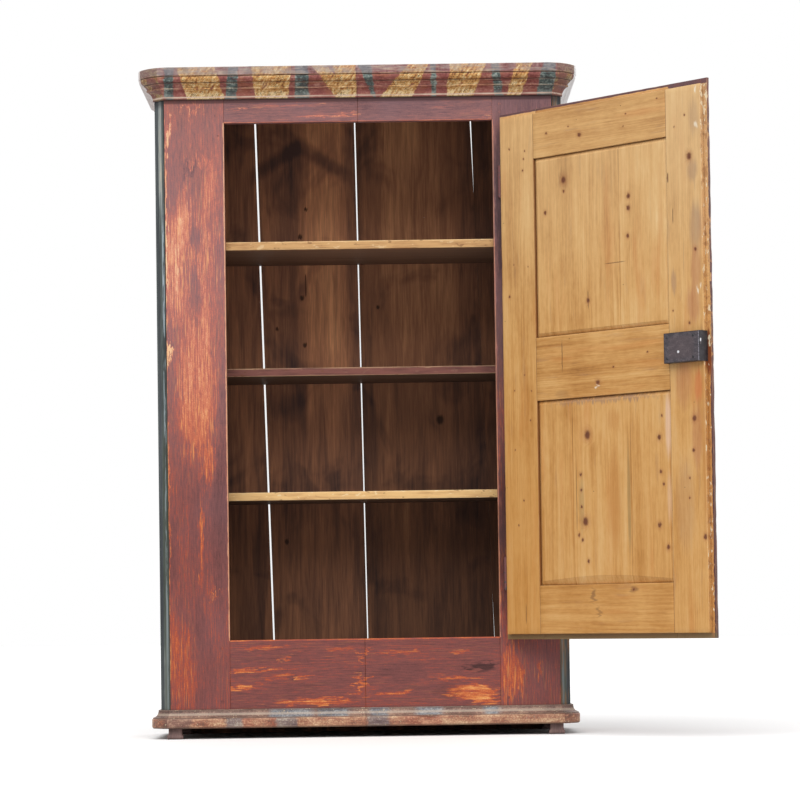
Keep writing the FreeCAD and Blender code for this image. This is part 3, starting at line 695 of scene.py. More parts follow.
def cornice_paint(name, bottom, top, banded=True):
    """Marbled bands in ochre and grey-green on red-brown, brushed with dark squiggles.
    The corners have no bands, and are browner."""
    shader = Shader(name, level)
    x, y, z = shader.x, shader.y, shader.z
    streak = shader.waves(0.05, 0.005, 2.0, 3.0, 0.6)
    cloud = shader.specks(34, 34, 40) - 0.5
    grit = shader.specks(170, 170, 190, detail=2.0) - 0.5
    brushed = shader.noise(shader.point((x - z * 0.7) * 130, y * 60, z * 44), 2.0) - 0.5
    height = (z - bottom) / (top - bottom)
    ragged = (shader.noise(shader.point(x * 60, 3.0, z * 44), 3.0, 0.65) - 0.5) * 0.016
    mixed = 0.5 + cloud * 0.9 + streak * 0.9 + grit * 0.8
    shader.colour = shader.ramp(mixed, (0.12, 84, 42, 40), (0.36, 132, 70, 66),
                                (0.58, 158, 96, 88), (0.88, 196, 150, 130))
    brown = shader.specks(15, 15, 34, 3.0).rise(0.48, 0.60)
    shader.coat(brown * height.fall(0.66, 0.74) * 0.40, 170, 106, 72)
    shader.coat(height.fall(0.10, 0.34) * 0.35, 176, 104, 96)
    gilded = (cloud + 0.5).rise(0.44, 0.68)
    if banded:
        gilded, green = [union([band(shader, height, limits, ragged)
                                for *limits, kind in CORNICE_BANDS if kind == wanted])
                         for wanted in ("ochre", "teal")]
        teal = shader.ramp(mixed * 1.4 - 0.22, (0.12, 34, 52, 54), (0.38, 62, 86, 86),
                           (0.58, 94, 120, 116), (0.80, 158, 172, 166))
        teal = shader.tint(height.rise(0.68, 0.78) * 0.55, teal, tone(98, 106, 118))
        teal = shader.tint(height.fall(0.05, 0.30) * 0.50, teal, tone(140, 154, 152))
        cover = (green * (0.95 + cloud * 1.6 + streak * 1.2)).rise(0.30, 0.85)
        shader.coat(cover * 0.90, teal)
    ochre = (gilded * (0.95 + cloud * 1.8 + brushed * 1.4)).rise(0.32, 0.78)
    lit = height.fall(0.12, 0.34) * 0.24 + height.near(0.42, 0.05, 0.12) * 0.06
    gold = shader.ramp(0.48 + brushed * 1.4 + grit * 1.0 + streak * 0.7 + lit,
                       (0.10, 126, 76, 42), (0.30, 190, 130, 72), (0.52, 222, 172, 102),
                       (0.84, 250, 224, 172))
    shader.coat(ochre * 0.95, gold)
    swirl = shader.noise(shader.point((x - z * 0.5) * 120, y * 100, z * 100), 1.0, 0.5, 2.0)
    line = swirl.near(0.5, 0.010, 0.042) * (cloud + 0.5).rise(0.40, 0.55)
    shader.coat(line * ochre * height.fall(0.64, 0.70) * 0.95, 58, 36, 26)
    faded = x.fall(-0.06, 0.06) * 0.16 + 0.60
    veil = height.rise(0.71, 0.76) * (faded + streak * 2.0 + cloud * 2.0)
    shader.coat(veil * 0.80, 144, 134, 134)
    if not banded:
        shader.coat(0.45 + cloud * 0.8, 96, 74, 56)
    # Painted shade along the moulding's two creases
    crease_shade = stripe(height, 0.705, 0.026).most(stripe(height, 0.505, 0.022))
    shader.coat(crease_shade * (0.60 + cloud * 1.6), 60, 34, 28)
    shader.coat((shader.wear + streak * 1.6 - 0.35).rise(0.2, 0.8) * 0.50, 216, 180, 138)
    # Painted highlight along the cornice's lower edge
    shader.coat(stripe(height, 0.080, 0.032) * (0.8 + streak * 2.0 + cloud), 224, 198, 178)
    # Painted shadow along the cornice's foot, where it meets the front
    shader.coat(height.fall(0.020, 0.045) * 0.8, 64, 38, 34)
    # Painted shade, with grime, in joints and hollows
    shader.coat(shader.hollow(0.012).rise(0.15, 0.8) * 0.80, 48, 30, 26)
    return shader.finish(0.46 + streak * 0.25, streak + cloud * 0.5, 0.3 * MM, specular=0.3)


# The base moulding's blocks of colour: their stretches along the front, in millimetres
# from the seam, how strong they are and their colours from worn to whole. The cove above
# has its own.
FASCIA_BLOCKS = [
    ([(-345, -315), (-270, -252), (110, 212)], 0.85,
     [(0.22, 196, 140, 112), (0.50, 150, 86, 68), (0.78, 92, 54, 48)]),
    ([(-394, -345), (-252, -190), (3, 66)], 0.80,
     [(0.22, 172, 164, 154), (0.50, 118, 110, 112), (0.78, 82, 70, 74)]),
    ([(-565, -488)], 0.80,
     [(0.22, 164, 128, 112), (0.50, 110, 78, 74), (0.78, 72, 50, 50)]),
]
COVE_BLUE = [(-268, -150), (-134, -48), (11, 64), (140, 215), (330, 372)]


def blocks(shader, spans, ragged, soft):
    """1 inside any of these stretches along the front."""
    return union([(shader.x + ragged - (low + high) / 2 * MM).size().fall(
        (high - low) / 2 * MM - soft, (high - low) / 2 * MM + soft) for low, high in spans])


def base_paint(name, bottom, top, browner=0.0):
    """Blocks of rust, ochre and blue-grey, paler in the hollow above."""
    shader = Shader(name, level)
    x, y, z = shader.x, shader.y, shader.z
    streak = shader.waves(0.05, 0.005, 5.0, 3.0, 0.6)
    ragged = (shader.specks(70, 70, 90) - 0.5) * 0.030
    other = shader.noise(shader.point((x + ragged) * 16 + 9, (y + ragged) * 16, z * 40), 2.0)
    fleck = shader.specks(190, 190, 210, detail=2.0) - 0.5
    height = (z - bottom) / (top - bottom)
    mixed = other + fleck * 1.1 + streak * 0.6 + browner
    fascia = shader.ramp(mixed, (0.22, 212, 178, 142), (0.42, 183, 136, 107),
                         (0.60, 155, 101, 80), (0.80, 106, 70, 60))
    for spans, strength, layers in FASCIA_BLOCKS:
        fascia = shader.tint(blocks(shader, spans, ragged, 0.007) * strength, fascia,
                             shader.ramp(mixed, *layers))
    cove = shader.ramp(mixed, (0.20, 160, 130, 112), (0.50, 122, 93, 82), (0.80, 82, 62, 56))
    sky = shader.ramp(mixed, (0.20, 160, 164, 164), (0.50, 110, 116, 124), (0.80, 74, 76, 82))
    cove = shader.tint(blocks(shader, COVE_BLUE, ragged, 0.012) * 0.85, cove, sky)
    cove = shader.tint(height.rise(0.84, 0.97) * 0.50, cove, tone(98, 78, 72))
    # Painted highlight along the middle of the cove
    cove = shader.tint(stripe(height, 0.75, 0.09) * 0.45, cove, tone(190, 172, 154))
    shader.colour = shader.tint(height.rise(0.53, 0.58), fascia, cove)
    shader.coat((fleck + streak * 0.8).rise(0.16, 0.30) * 0.65, 238, 212, 176)
    # Painted shade in the crease between the fascia and the cove
    shader.coat(stripe(height, 0.545, 0.045) * 0.60, 78, 54, 48)
    shader.coat((shader.wear + fleck * 1.2 - 0.35).rise(0.2, 0.8) * 0.40, 210, 182, 148)
    shader.coat(height.fall(0.02, 0.12) * 0.5, 84, 62, 54)
    # Painted shade, with grime, in joints and hollows
    shader.coat(shader.hollow(0.010).rise(0.2, 0.8) * 0.8, 40, 30, 28)
    return shader.finish(0.5 + streak * 0.25, streak + fleck * 0.4, 0.3 * MM, specular=0.3)


def worn_wood(name, dark, light, grain_of=upright, seed=0.0, door_node=False, cap=None):
    """Plain old wood between two colours, streaked along its grain. Above the cap it is
    bare and dusty."""
    shader = Shader(name, grain_of, door_node)
    broad = shader.waves(0.45, 0.045, seed + 2.0)
    fine = shader.waves(0.08, 0.003, seed + 5.0, 3.0, 0.65)
    knotty = shader.streaks(0.03, 0.016, seed + 9.0, 2.0).rise(0.70, 0.80)
    amount = 0.5 + broad * 1.1 + fine * 0.7
    shader.colour = shader.ramp(amount, (0.1, *dark), (0.9, *light))
    shader.dim(knotty * 0.45)
    edge = (shader.wear + fine * 1.2 - 0.4).rise(0.2, 0.8)
    shader.colour = shader.scaled(shader.colour, 1.0 + edge * 0.25)
    if cap:
        shader.coat(shader.z.rise(cap - 0.0015, cap),
                    shader.ramp(amount, (0.1, 112, 92, 74), (0.9, 168, 142, 112)))
    # Painted shade, with grime, in joints and hollows
    shader.dim(shader.hollow(0.012).rise(0.2, 0.9) * 0.6)
    return shader.finish(0.62 + fine * 0.3, fine, 0.3 * MM, specular=0.25)


# Marks on the back boards, in millimetres: knots (x, z, radius), a split (x, from z, to z)
# and the roof-like stain under the top, whose two arms run down from a peak
BACK_KNOTS = [
    (-179, 1462, 9), (-161, 1544, 7), (-176, 1281, 9), (-169, 1141, 8), (227, 914, 15),
    (-298, 1360, 8), (-250, 1190, 7), (48, 1250, 7), (110, 700, 8), (-230, 560, 9),
]
BACK_SPLIT = (-164, 1281, 1355)
STAIN_PEAK = (-178, 1754)
STAIN_SLOPE = 0.69


def back_wood(name, seed, low_x, high_x, bright, glow):
    """Dark dry back boards, browner where the wood is less stained: the glow is the middle
    and half the width of such a stretch."""
    shader = Shader(name)
    broad = shader.waves(0.55, 0.055, seed + 2.0)
    middle = shader.waves(0.20, 0.012, seed + 3.5, 3.0, 0.6, 0.5)
    fine = shader.waves(0.07, 0.0035, seed + 5.0, 3.0, 0.65)
    stain = shader.specks(7, 0, 5, seed, warp=0.6)
    amount = 0.42 + broad * 0.9 + middle * 0.6 + fine * 0.4
    if glow:
        centre, half = glow
        near = shader.x.near(centre * MM, half * 0.45 * MM, half * MM)
        amount = amount + near * (0.06 + shader.z.rise(0.6, 1.6) * 0.24)
    amount = amount - stain.rise(0.50, 0.72) * 0.26
    peak_x, peak_z = [v * MM for v in STAIN_PEAK]
    side = (shader.x - peak_x + middle * 0.02).size()
    arm = (shader.z - peak_z + side * STAIN_SLOPE + stain * 0.03).size().fall(0.004, 0.036)
    amount = amount - arm * side.fall(0.11, 0.17) * 0.30
    split_x, split_low, split_high = [v * MM for v in BACK_SPLIT]
    crack = ((shader.x - split_x + middle * 0.004).size().fall(0.0010, 0.0024)
             * shader.z.rise(split_low, split_low + 0.01)
             * shader.z.fall(split_high - 0.01, split_high))
    ground = shader.shaken(fine, 0.02, 0.01)
    crack = union([crack] + [shader.spot(ground, x, z, size, size * 1.25)
                             for x, z, size in BACK_KNOTS if low_x < x * MM < high_x])
    shader.colour = shader.ramp(amount, (0.05, 68, 50, 46), (0.35, 112, 77, 60),
                                (0.62, 152, 104, 76), (0.95, 202, 146, 104))
    shader.coat(crack * 0.85, 36, 24, 20)
    sides = (shader.x - low_x).fall(0.0, 0.02).most((high_x - shader.x).fall(0.0, 0.02))
    shader.dim(sides * 0.3)
    lit = bright * (0.60 + shader.z.rise(0.3, 1.2) * 0.68)
    shader.colour = shader.scaled(shader.colour, lit)
    return shader.finish(0.72 + fine * 0.2, fine + middle * 0.5, 0.3 * MM, specular=0.15)


def shelf_wood(name, front, pale, dark, seed, flecked, lip=None):
    """A shelf: its front edge has one look, and the rest is darkened old pine. A lip is
    the colour of a lighter ragged strip just behind the edge, underneath."""
    shader = Shader(name, level)
    streak = shader.waves(0.10, 0.004, seed, 4.0, 0.62)
    blotch = shader.specks(13, 0, 60, seed) - 0.5
    nick = shader.specks(42, 60, 90, seed, 2.0)
    amount = 0.5 + streak * 0.9 + blotch * 0.9
    edge_colour = shader.ramp(amount, (0.15, *dark), (0.55, *pale), (0.95, *pale))
    shader.grain = shader.x, shader.y, shader.z
    under = shader.ramp(0.4 + shader.streaks(0.3, 0.02, seed) * 0.5,
                        (0.3, 64, 50, 44), (0.8, 146, 112, 90))
    behind = shader.y - front
    if lip:
        ragged = (nick - 0.5) * 0.05 + 0.022
        strip = (behind - ragged).fall(-0.004, 0.004)
        under = shader.tint(strip * (0.55 + nick.rise(0.5, 0.7) * 0.45), under, tone(*lip))
        # Painted shadow of the stiles on the shelf's ends, with dirt: browner there
        ends = shader.x.size().rise(0.368, 0.386)
        edge_colour = shader.tint(ends * 0.45, edge_colour, tone(132, 88, 58))
    else:
        under = shader.scaled(under, 0.55)
    at_front = (behind + (streak + blotch) * 0.004).fall(0.0022, 0.0034)
    shader.colour = shader.tint(at_front, under, edge_colour)
    bright = (shader.wear + streak * 1.6 - 0.3).rise(0.3, 0.9) * at_front
    shader.coat(bright * (0.30 + flecked * 0.45), 232, 200, 150)
    shader.coat(nick.rise(0.62, 0.68) * at_front * flecked ** 1.5, 240, 214, 168)
    shader.coat(nick.fall(0.30, 0.36) * at_front * 0.55, 112, 70, 44)
    return shader.finish(0.6 + streak * 0.3, streak + blotch, 0.4 * MM, specular=0.2)


STAINS = {
    "brown": (116, 78, 50), "grey": (154, 122, 104), "red": (172, 106, 82),
    "gold": (190, 128, 64), "olive": (140, 118, 76), "chalk": (226, 186, 150),
    "white": (248, 238, 216), "rust": (204, 116, 66), "oxide": (118, 50, 28),
}

# How much longer along the grain than across it a knot is, how wide a year's ring is, how
# many cells for worm holes a metre has, and the height beside the lock's foot where the
# paint on the lip changes its width
KNOT_STRETCH = 1.15
YEAR_RING = 0.0046
WORM_CELLS = 24.0
PAINT_STEP = (0.93, 1.00)


def pine(name, grain_of, seed, pith, knots, boards=(), shade=0.0, smudge=0.0, stains=(),
         lines=(), pale=0.26, low_shade=0.26, field=None):
    """The door's wood: honey-coloured pine behind, worn red paint in front. Knots are
    (x, z, size) in millimetres with the door shut. Boards are the places of glued joints.
    Shade darkens the whole piece and smudge greys parts of it. Pale and age paint light
    and shade onto it: paler high up and deeper low down. A stain is (x, z, rx, rz, amount,
    kind) and a line is (x, z, half width, half height). A field is the raised part of a
    panel's front, from side to side and up, and is painted grey-green."""
    shader = Shader(name, grain_of, door_node=True)
    u, v, w = shader.grain
    slow = shader.noise(shader.point(u * 0.9 + seed, v * 3, w * 3), 2.0) - 0.5
    ripple = shader.noise(shader.point(u * 5 + seed, v * 28, w * 28)) - 0.5
    side = v - pith[0] * MM + slow * 0.05
    into = w - pith[1] * MM
    radius = (side * side + into * into).power(0.5) + u * 0.012 + ripple * 0.005
    jitter = (shader.noise(shader.point(u * 120, v * 160, seed), 2.0) - 0.5) * 0.006
    flat = shader.point(u / KNOT_STRETCH + jitter, v + jitter, 0.0)
    cores = []
    halos = []
    for x, z, size in knots:
        along, across = (z, x) if shader.vertical else (x, z)
        apart = shader.distance(flat, (along * MM / KNOT_STRETCH, across * MM, 0.0))
        reach = size * MM
        halos.append(apart.fall(0.0, 2.6 * reach))
        cores.append(apart.fall(0.35 * reach, 0.95 * reach))
        radius = radius + halos[-1] * halos[-1] * reach * 1.4
    ring = (radius / YEAR_RING).fraction()
    late = ring.rise(0.25, 0.90) * ring.fall(0.92, 1.0)
    broad = shader.waves(0.60, 0.030, seed + 1.0)
    middle = shader.waves(0.25, 0.008, seed + 3.0, 3.0, 0.6, 0.4)
    fine = shader.waves(0.06, 0.0022, seed + 5.0, 3.0, 0.65)
    patch = shader.specks(6, 0, 5, seed) - 0.5
    calm = shader.noise(shader.point(u * 3 + seed, v * 14, 2.0), 2.0).rise(0.35, 0.65)
    mottle = shader.noise(shader.point(u * 40 + seed, v * 110, 4.0), 3.0, 0.65) - 0.5
    amount = 0.56 + broad * 0.80 + middle * 0.45 + fine * 0.45 + patch * 0.65 + mottle * 0.30
    amount = amount - late * (0.02 + calm * 0.08) - shade
    for n, place in enumerate(boards):
        joint = (shader.x - place * MM + middle * 0.002).size().fall(0.0006, 0.0020)
        lift = (shader.x - place * MM).rise(-0.0005, 0.0005) * (0.09 if n % 2 else -0.09)
        amount = amount + lift - joint * 0.30
    shader.colour = shader.ramp(amount, (0.02, 140, 90, 42), (0.28, 190, 136, 74),
                                (0.55, 218, 168, 104), (0.80, 230, 188, 128),
                                (1.00, 242, 212, 162))
    orange = shader.streaks(0.35, 0.05, seed + 11.0, 2.0).rise(0.55, 0.75)
    shader.coat(orange * 0.35, 200, 122, 58)
    grey = shader.streaks(0.16, 0.02, seed + 15.0).rise(0.58, 0.78)
    shader.coat(grey * (0.24 + smudge), 160, 126, 102)
    # Painted light and shade: the wood is deeper low down and paler high up
    shader.coat(shader.z.fall(0.4, 1.5) * low_shade, 202, 138, 60)
    shader.coat(shader.z.rise(1.0, 1.7) * pale, 234, 204, 158)
    marks(shader, middle, patch, stains, lines)
    halo = union(halos)
    shader.coat(halo * halo * 0.6, 164, 100, 60)
    shader.coat(union(cores) * (0.85 + fine * 0.8), 94, 46, 30)
    apart = (shader.x - lock_high.x).size().least((shader.x - hinge_low.x).size())
    shader.coat((apart + middle * 0.001).fall(0.0005, 0.0016) * 0.6, 116, 68, 38)
    worm_holes(shader)
    front_paint(shader, middle, fine, seed, field)
    # Painted shade, with grime, in joints and hollows
    shader.coat(shader.hollow(0.009).rise(0.18, 0.85) * 0.75, 92, 50, 26)
    shader.coat((shader.wear + fine * 1.5 - 0.45).rise(0.2, 0.8) * 0.25, 232, 196, 142)
    return shader.finish(0.5 + fine * 0.3 - late * 0.08, fine * 0.6 - late * 0.35, 0.3 * MM,
                         specular=0.3)


def marks(shader, middle, patch, stains, lines):
    """The stains and the thin dark lines on the door's wood."""
    ground = shader.shaken(middle, 0.07, 0.014)
    for *stain, kind in stains:
        shader.coat(shader.spot(ground, *stain) * (1.0 + patch * 2.0), *STAINS[kind])
    for x, z, wide, tall in lines:
        thin = (shader.x - x * MM + middle * 0.004 * (tall > wide)).size()
        long = (shader.z - z * MM + middle * 0.004 * (wide > tall)).size()
        mark = thin.fall(wide * 0.5 * MM, wide * MM) * long.fall(tall * 0.5 * MM, tall * MM)
        shader.coat(mark * 0.75, 84, 52, 30)


def worm_holes(shader):
    """Scattered worm holes and pin holes."""
    cells = shader.node("TexVoronoi", feature="F1")
    shader.feed(cells.inputs["Vector"], shader.point(shader.x, 0.0, shader.z))
    cells.inputs["Scale"].default_value = WORM_CELLS
    apart = Signal(shader, cells.outputs["Distance"])
    chosen = Signal(shader, shader.node("SeparateColor", cells.outputs["Color"]).outputs[0])
    shader.coat(apart.fall(0.020, 0.044) * chosen.rise(0.76, 0.78) * 0.85, 66, 40, 24)


def front_paint(shader, middle, fine, seed, field):
    """The paint on the door's front and round the lip, which frays towards the inside."""
    x, y, z = shader.x, shader.y, shader.z
    frayed = shader.specks(60, 60, 60) - 0.5
    bared = 0.0022 + z.rise(*PAINT_STEP) * 0.0036
    front = (y - LIP_BACK + bared + frayed * 0.004).fall(-0.0006, 0.0006)
    on_lip = (y - LIP_BACK).fall(0.001, 0.0015)
    bare = (x - lock_high.x).rise(-0.004, 0.004) * 0.008
    above = (z - BLOCK_TOP - bare + frayed * 0.004).rise(0.0, 0.002)
    strip = 0.0016 + z.fall(*PAINT_STEP) * 0.0044
    beside = x + BLOCK_SIDE + LIP_WIDTH - strip + frayed * 0.008
    outside = on_lip * above.most(beside.fall(-0.001, 0.001))
    coat = front.most(outside * (frayed + 0.5).rise(0.16, 0.24))
    broad = shader.waves(0.30, 0.04, seed + 31.0)
    worn = 0.33 + broad * 0.9 + middle * 0.5 + fine * 0.9
    worn = worn + (shader.wear + frayed - 0.5).rise(0.2, 0.8) * 0.35
    paint = shader.oil(worn)[0]
    if field:
        low_x, high_x, low_z, high_z = field
        inside = (x - low_x).least(high_x - x).least(z - low_z).least(high_z - z)
        inside = inside + frayed * 0.003
        green = shader.ramp(0.46 + broad * 0.9 + fine * 0.7 + frayed * 0.5, *GREEN_LAYERS)
        paint = shader.tint(inside.rise(-0.001, 0.001), paint, green)
        line = inside.near(0.004, 0.0025, 0.0040)
        paint = shader.tint(line * 0.85, paint, tone(198, 144, 82))
    shader.coat(coat, shader.tint(outside * 0.75, paint, tone(78, 58, 64)))
    low = (z - BLOCK_BOTTOM).fall(-0.002, 0.0) * (1.0 - front)
    shader.coat(low * 0.8, 104, 92, 68)
    rim = (x + BLOCK_SIDE).fall(0.000, 0.001) * (1.0 - front)
    soiled = rim * z.rise(1.66, 1.70) * (frayed + 0.5).fall(0.44, 0.52)
    shader.coat(soiled * (1.0 - coat) * 0.6, 100, 74, 54)
    rim = rim * (1.0 - coat)
    shader.coat(rim * z.rise(1.10, 1.45) * 0.5, 208, 162, 114)
    shader.coat(rim * z.fall(1.00, 1.30) * 0.30, 166, 104, 56)
    shader.coat(rim * (frayed + 0.5).rise(0.5, 0.62) * 0.4, 140, 84, 54)
    flecks = shader.specks(90, 130, 45, rough=0.6) + z.rise(1.60, 1.72) * 0.11
    shader.coat(rim * flecks.rise(0.60, 0.65) * 0.9, 240, 222, 188)


def iron(name, base, seed, door_node=False, red=0.0, sooty=0.0, shine=0.0, glint=None):
    """Blackened wrought iron, rubbed brighter on its edges. Red is old paint left on it,
    sooty is how much blacker it is, and shine how much of it is painted bright as a
    highlight, round the height of a glint where there is one."""
    shader = Shader(name, door_node=door_node)
    rough = shader.specks(70, 70, 70, seed, 4.0)
    fine = shader.specks(420, 420, 420, detail=2.0)
    amount = (rough - 0.5) * 1.1 + (fine - 0.5) * 0.6 + base
    shader.colour = shader.ramp(amount, (0.1, 46, 44, 48), (0.45, 70, 67, 71),
                                (0.7, 98, 90, 92), (0.95, 128, 112, 104))
    edge = (shader.wear + (fine - 0.5) * 1.4 - 0.35).rise(0.3, 0.9)
    shader.coat(edge * 0.6, 168, 164, 164)
    # Painted highlight, round the glint's height where there is one
    if shine:
        bright = (rough + shine - 0.5).rise(0.0, 0.5)
        if glint:
            bright = bright * shader.z.near(glint, 0.002, 0.006)
        shader.coat(bright, 226, 226, 230)
    if sooty:
        shader.coat(shader.wear.fall(-0.5, 0.5) * sooty, 14, 13, 18)
    if red:
        coat = (rough - 0.5 + (fine - 0.5) * 0.5).fall(-0.02 + red * 0.1, 0.04 + red * 0.1)
        shader.coat(coat, 118, 74, 72)
    return shader.finish(0.42 + (rough - 0.5) * 0.4, rough + fine * 0.5, 0.35 * MM, 0.35)


def lock_iron(name, low, high):
    """The lock's case: browner in its middle, black round its rim, darker on its side as
    painted shade, and with a painted highlight on the rubbed edge beside the forend. Low
    and high are its corners with the door shut."""
    shader = Shader(name, door_node=True)
    x, y, z = shader.x, shader.y, shader.z
    rough = shader.specks(60, 60, 90) - 0.5
    fine = shader.specks(260, 260, 420, detail=2.0) - 0.5
    middle = (low + high) / 2
    half = (high - low) / 2
    face = (x - low.x - 0.0008).rise(-0.0004, 0.0004)
    aside = (x - middle.x).size()
    above = (z - middle.z).size()
    shader.colour = shader.ramp(0.5 + rough * 1.0 + fine * 0.9, (0.15, 46, 43, 47),
                                (0.50, 72, 66, 72), (0.85, 108, 98, 100))
    inner = aside.fall(half.x * 0.55, half.x * 0.80) * above.fall(half.z * 0.60, half.z * 0.90)
    shader.coat(inner * 0.45, 90, 76, 78)
    rim = aside.rise(half.x - 0.0035, half.x - 0.001).most(
        above.rise(half.z - 0.0035, half.z - 0.001))
    shader.coat(rim * 0.65, 34, 31, 34)
    # Painted shade on the case's side, which faces away from the light
    shader.coat(face.fall(0.0, 1.0) * 0.55, 34, 26, 26)
    # Painted highlight on the rubbed edge beside the forend
    rubbed = (x - low.x - 0.0012).size().fall(0.0008, 0.0022)
    rubbed = rubbed * y.near(high.y, 0.001, 0.002)
    shader.coat(rubbed * (0.50 + fine * 2.0), 164, 160, 170)
    return shader.finish(0.42 + rough * 0.4, rough + fine * 0.5, 0.35 * MM, 0.35)


def dress(node, material):
    """Gives a CAD node its material."""
    mesh = frame["nodes"][node].data
    mesh.materials.clear()
    mesh.materials.append(material)


# Where the front's paint is rubbed through, or keeps its film: x, z, the two radii and
# how much more is worn away, all but the last in millimetres
LEFT_RUBS = [
    (-470, 1320, 120, 260, 0.15), (-530, 1330, 34, 230, 0.14), (-508, 205, 64, 160, 0.15),
    (-455, 220, 44, 190, -0.10), (-456, 560, 9, 170, 0.26), (-430, 640, 80, 230, -0.10),
    (-465, 985, 84, 250, 0.26), (-465, 1380, 90, 300, 0.05), (-430, 765, 24, 70, 0.24),
    (-505, 780, 28, 130, -0.05), (-465, 780, 70, 110, 0.07), (-546, 1450, 5, 330, 0.36),
    (-546, 640, 4, 400, 0.28), (-540, 550, 24, 160, -0.14), (-470, 1820, 90, 60, -0.02),
    (-468, 1783, 60, 10, 0.22), (-500, 1450, 30, 120, 0.10), (-447, 1626, 60, 14, 0.16),
    (-478, 1600, 24, 34, -0.22), (-420, 1560, 26, 80, 0.14), (-537, 1704, 9, 44, 0.46),
    (-462, 1250, 22, 110, -0.20), (-462, 1410, 24, 60, -0.20), (-541, 1094, 17, 28, 0.85),
    (-538, 1088, 5, 8, -0.80), (-417, 405, 26, 4, 0.36), (-400, 560, 30, 320, -0.12),
    (-392, 900, 16, 240, -0.16),
]
RIGHT_RUBS = [
    (404, 170, 40, 110, 0.24), (437, 150, 12, 60, 0.22), (488, 182, 10, 40, 0.22),
    (395, 400, 22, 200, 0.16), (400, 1500, 40, 330, -0.15), (470, 1790, 120, 90, -0.12),
    (390, 820, 14, 260, 0.12), (470, 260, 90, 260, 0.06), (396, 930, 16, 110, 0.12),
]
# Painted shade on the right stile, taken from the colour as a share: the open door's shadow on
# the strip beside it, and the cornice's shadow at its top. Each is x, z and the two radii in
# millimetres, and the share
RIGHT_SHADES = [(396, 1010, 24, 790, 0.46), (396, 540, 24, 300, 0.50),
                (400, 1540, 26, 280, 0.46), (470, 1810, 110, 60, 0.12)]
RAIL_RUBS = [
    (-87, 1752, 110, 5, 0.34), (-20, 1762, 40, 4, 0.30), (-200, 1783, 150, 5, 0.20),
    (-250, 1775, 160, 40, -0.05), (-330, 1777, 26, 5, 0.40), (230, 1773, 50, 4, 0.24),
    (375, 1762, 4, 40, 0.20), (100, 1776, 280, 40, -0.12), (-287, 252, 70, 7, 0.26),
    (-60, 246, 70, 6, 0.22), (-320, 190, 100, 7, 0.36), (-215, 170, 90, 9, 0.24),
    (-345, 142, 50, 10, 0.36), (-218, 222, 18, 12, 0.30), (-140, 100, 150, 13, 0.40),
    (-14, 150, 16, 46, 0.36), (-8, 225, 10, 36, 0.28), (100, 236, 90, 7, 0.20),
    (270, 236, 40, 6, 0.26), (60, 118, 60, 8, 0.20), (110, 123, 34, 6, 0.30),
    (250, 160, 100, 6, 0.26), (300, 120, 90, 30, 0.42), (340, 96, 60, 14, 0.30),
    (325, 190, 60, 16, -0.30), (-206, 167, 15, 12, -0.30), (-200, 165, 8, 7, 0.60),
    (105, 180, 90, 40, -0.10),
]
# The bottom rail's darker patches, the same way: x, z and the two radii in millimetres, and the
# share of the colour taken away
RAIL_SHADES = [(318, 190, 56, 18, 0.45), (236, 127, 46, 38, 0.18)]

# The rails' edges, how worn they are, how much film they have and their seeds
RAILS = {
    "top_rail": ((SHARP, SHARP, WORN, SHARP), 0.33, 0.75, 60.0),
    "bottom_rail": ((SHARP, WORN, SHARP, SHARP), 0.36, 0.15, 90.0),
}

# A nail hole in the left stile: its place, in millimetres, its radius and its depth
NAIL_HOLE = (-395.4, 1699.2)
HOLE_ROUND = 1.6 * MM
HOLE_DEEP = 9.0 * MM


def rails(half_open):
    """The frame's rails, whose tenons are hidden in the stiles."""
    for name, (edges, base, film, seed) in RAILS.items():
        paint = red_paint("red_" + name, level, base, RAIL_RUBS, seed, film, RAIL_SHADES,
                          rim=0.30)
        for side in ("left", "right"):
            node = "%s_%s" % (name, side)
            low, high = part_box(node)
            low.x = max(low.x, -half_open)
            high.x = min(high.x, half_open)
            mesh = Mesh()
            plank(mesh, low, high, 0, edges, CHIP * 0.6, seed + (side == "left"))
            mesh.piece(node + "_worn", "case", "red_paint", paint, node)


def stiles():
    """The front's stiles; gives back how far the opening reaches to either side."""
    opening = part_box("bottom_rail_left")[1].z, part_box("top_rail_left")[0].z
    low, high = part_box("front_stile_left")
    mesh = Mesh()
    plank(mesh, low, high, 2, (SHARP, SHARP, SOFT, WORN), CHIP, 8.0)
    paint = red_paint("red_stile_left", upright, 0.42, LEFT_RUBS, 0.0, 0.6,
                      edges_between=opening)
    made = mesh.piece("stile_left", "case", "red_paint", paint, "front_stile_left")
    hole = Mesh()
    rod(hole, [v * MM for v in NAIL_HOLE], HOLE_ROUND, low.y - MM, low.y + HOLE_DEEP)
    cut(made, hole)
    low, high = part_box("front_stile_right")
    mesh = Mesh()
    plank(mesh, low, high, 2, (SHARP, SHARP, WORN, SOFT), CHIP, 3.0)
    paint = red_paint("red_stile_right", upright, 0.34, RIGHT_RUBS, 40.0, 0.7, RIGHT_SHADES,
                      edges_between=opening, rim=0.30)
    mesh.piece("stile_right", "case", "red_paint", paint, "front_stile_right")
    return low.x


# The mouldings' profiles, as shares of their reach and height; four numbers are an arc
# through a middle point
CORNICE = [
    (0.0, 0.0), (0.10, 0.0), (0.10, 0.05), (0.20, 0.19, 0.46, 0.30), (0.54, 0.33, 0.48, 0.37),
    (0.56, 0.43, 0.70, 0.48), (0.70, 0.51), (0.90, 0.58, 0.96, 0.69), (0.93, 0.71),
    (1.0, 0.73), (1.0, 1.0), (0.0, 1.0),
]
BASE = [
    (0.0, 0.0), (0.88, 0.0), (1.0, 0.08), (1.0, 0.50), (0.90, 0.53), (0.90, 0.58),
    (0.52, 0.68, 0.30, 0.92), (0.30, 1.0), (0.0, 1.0),
]


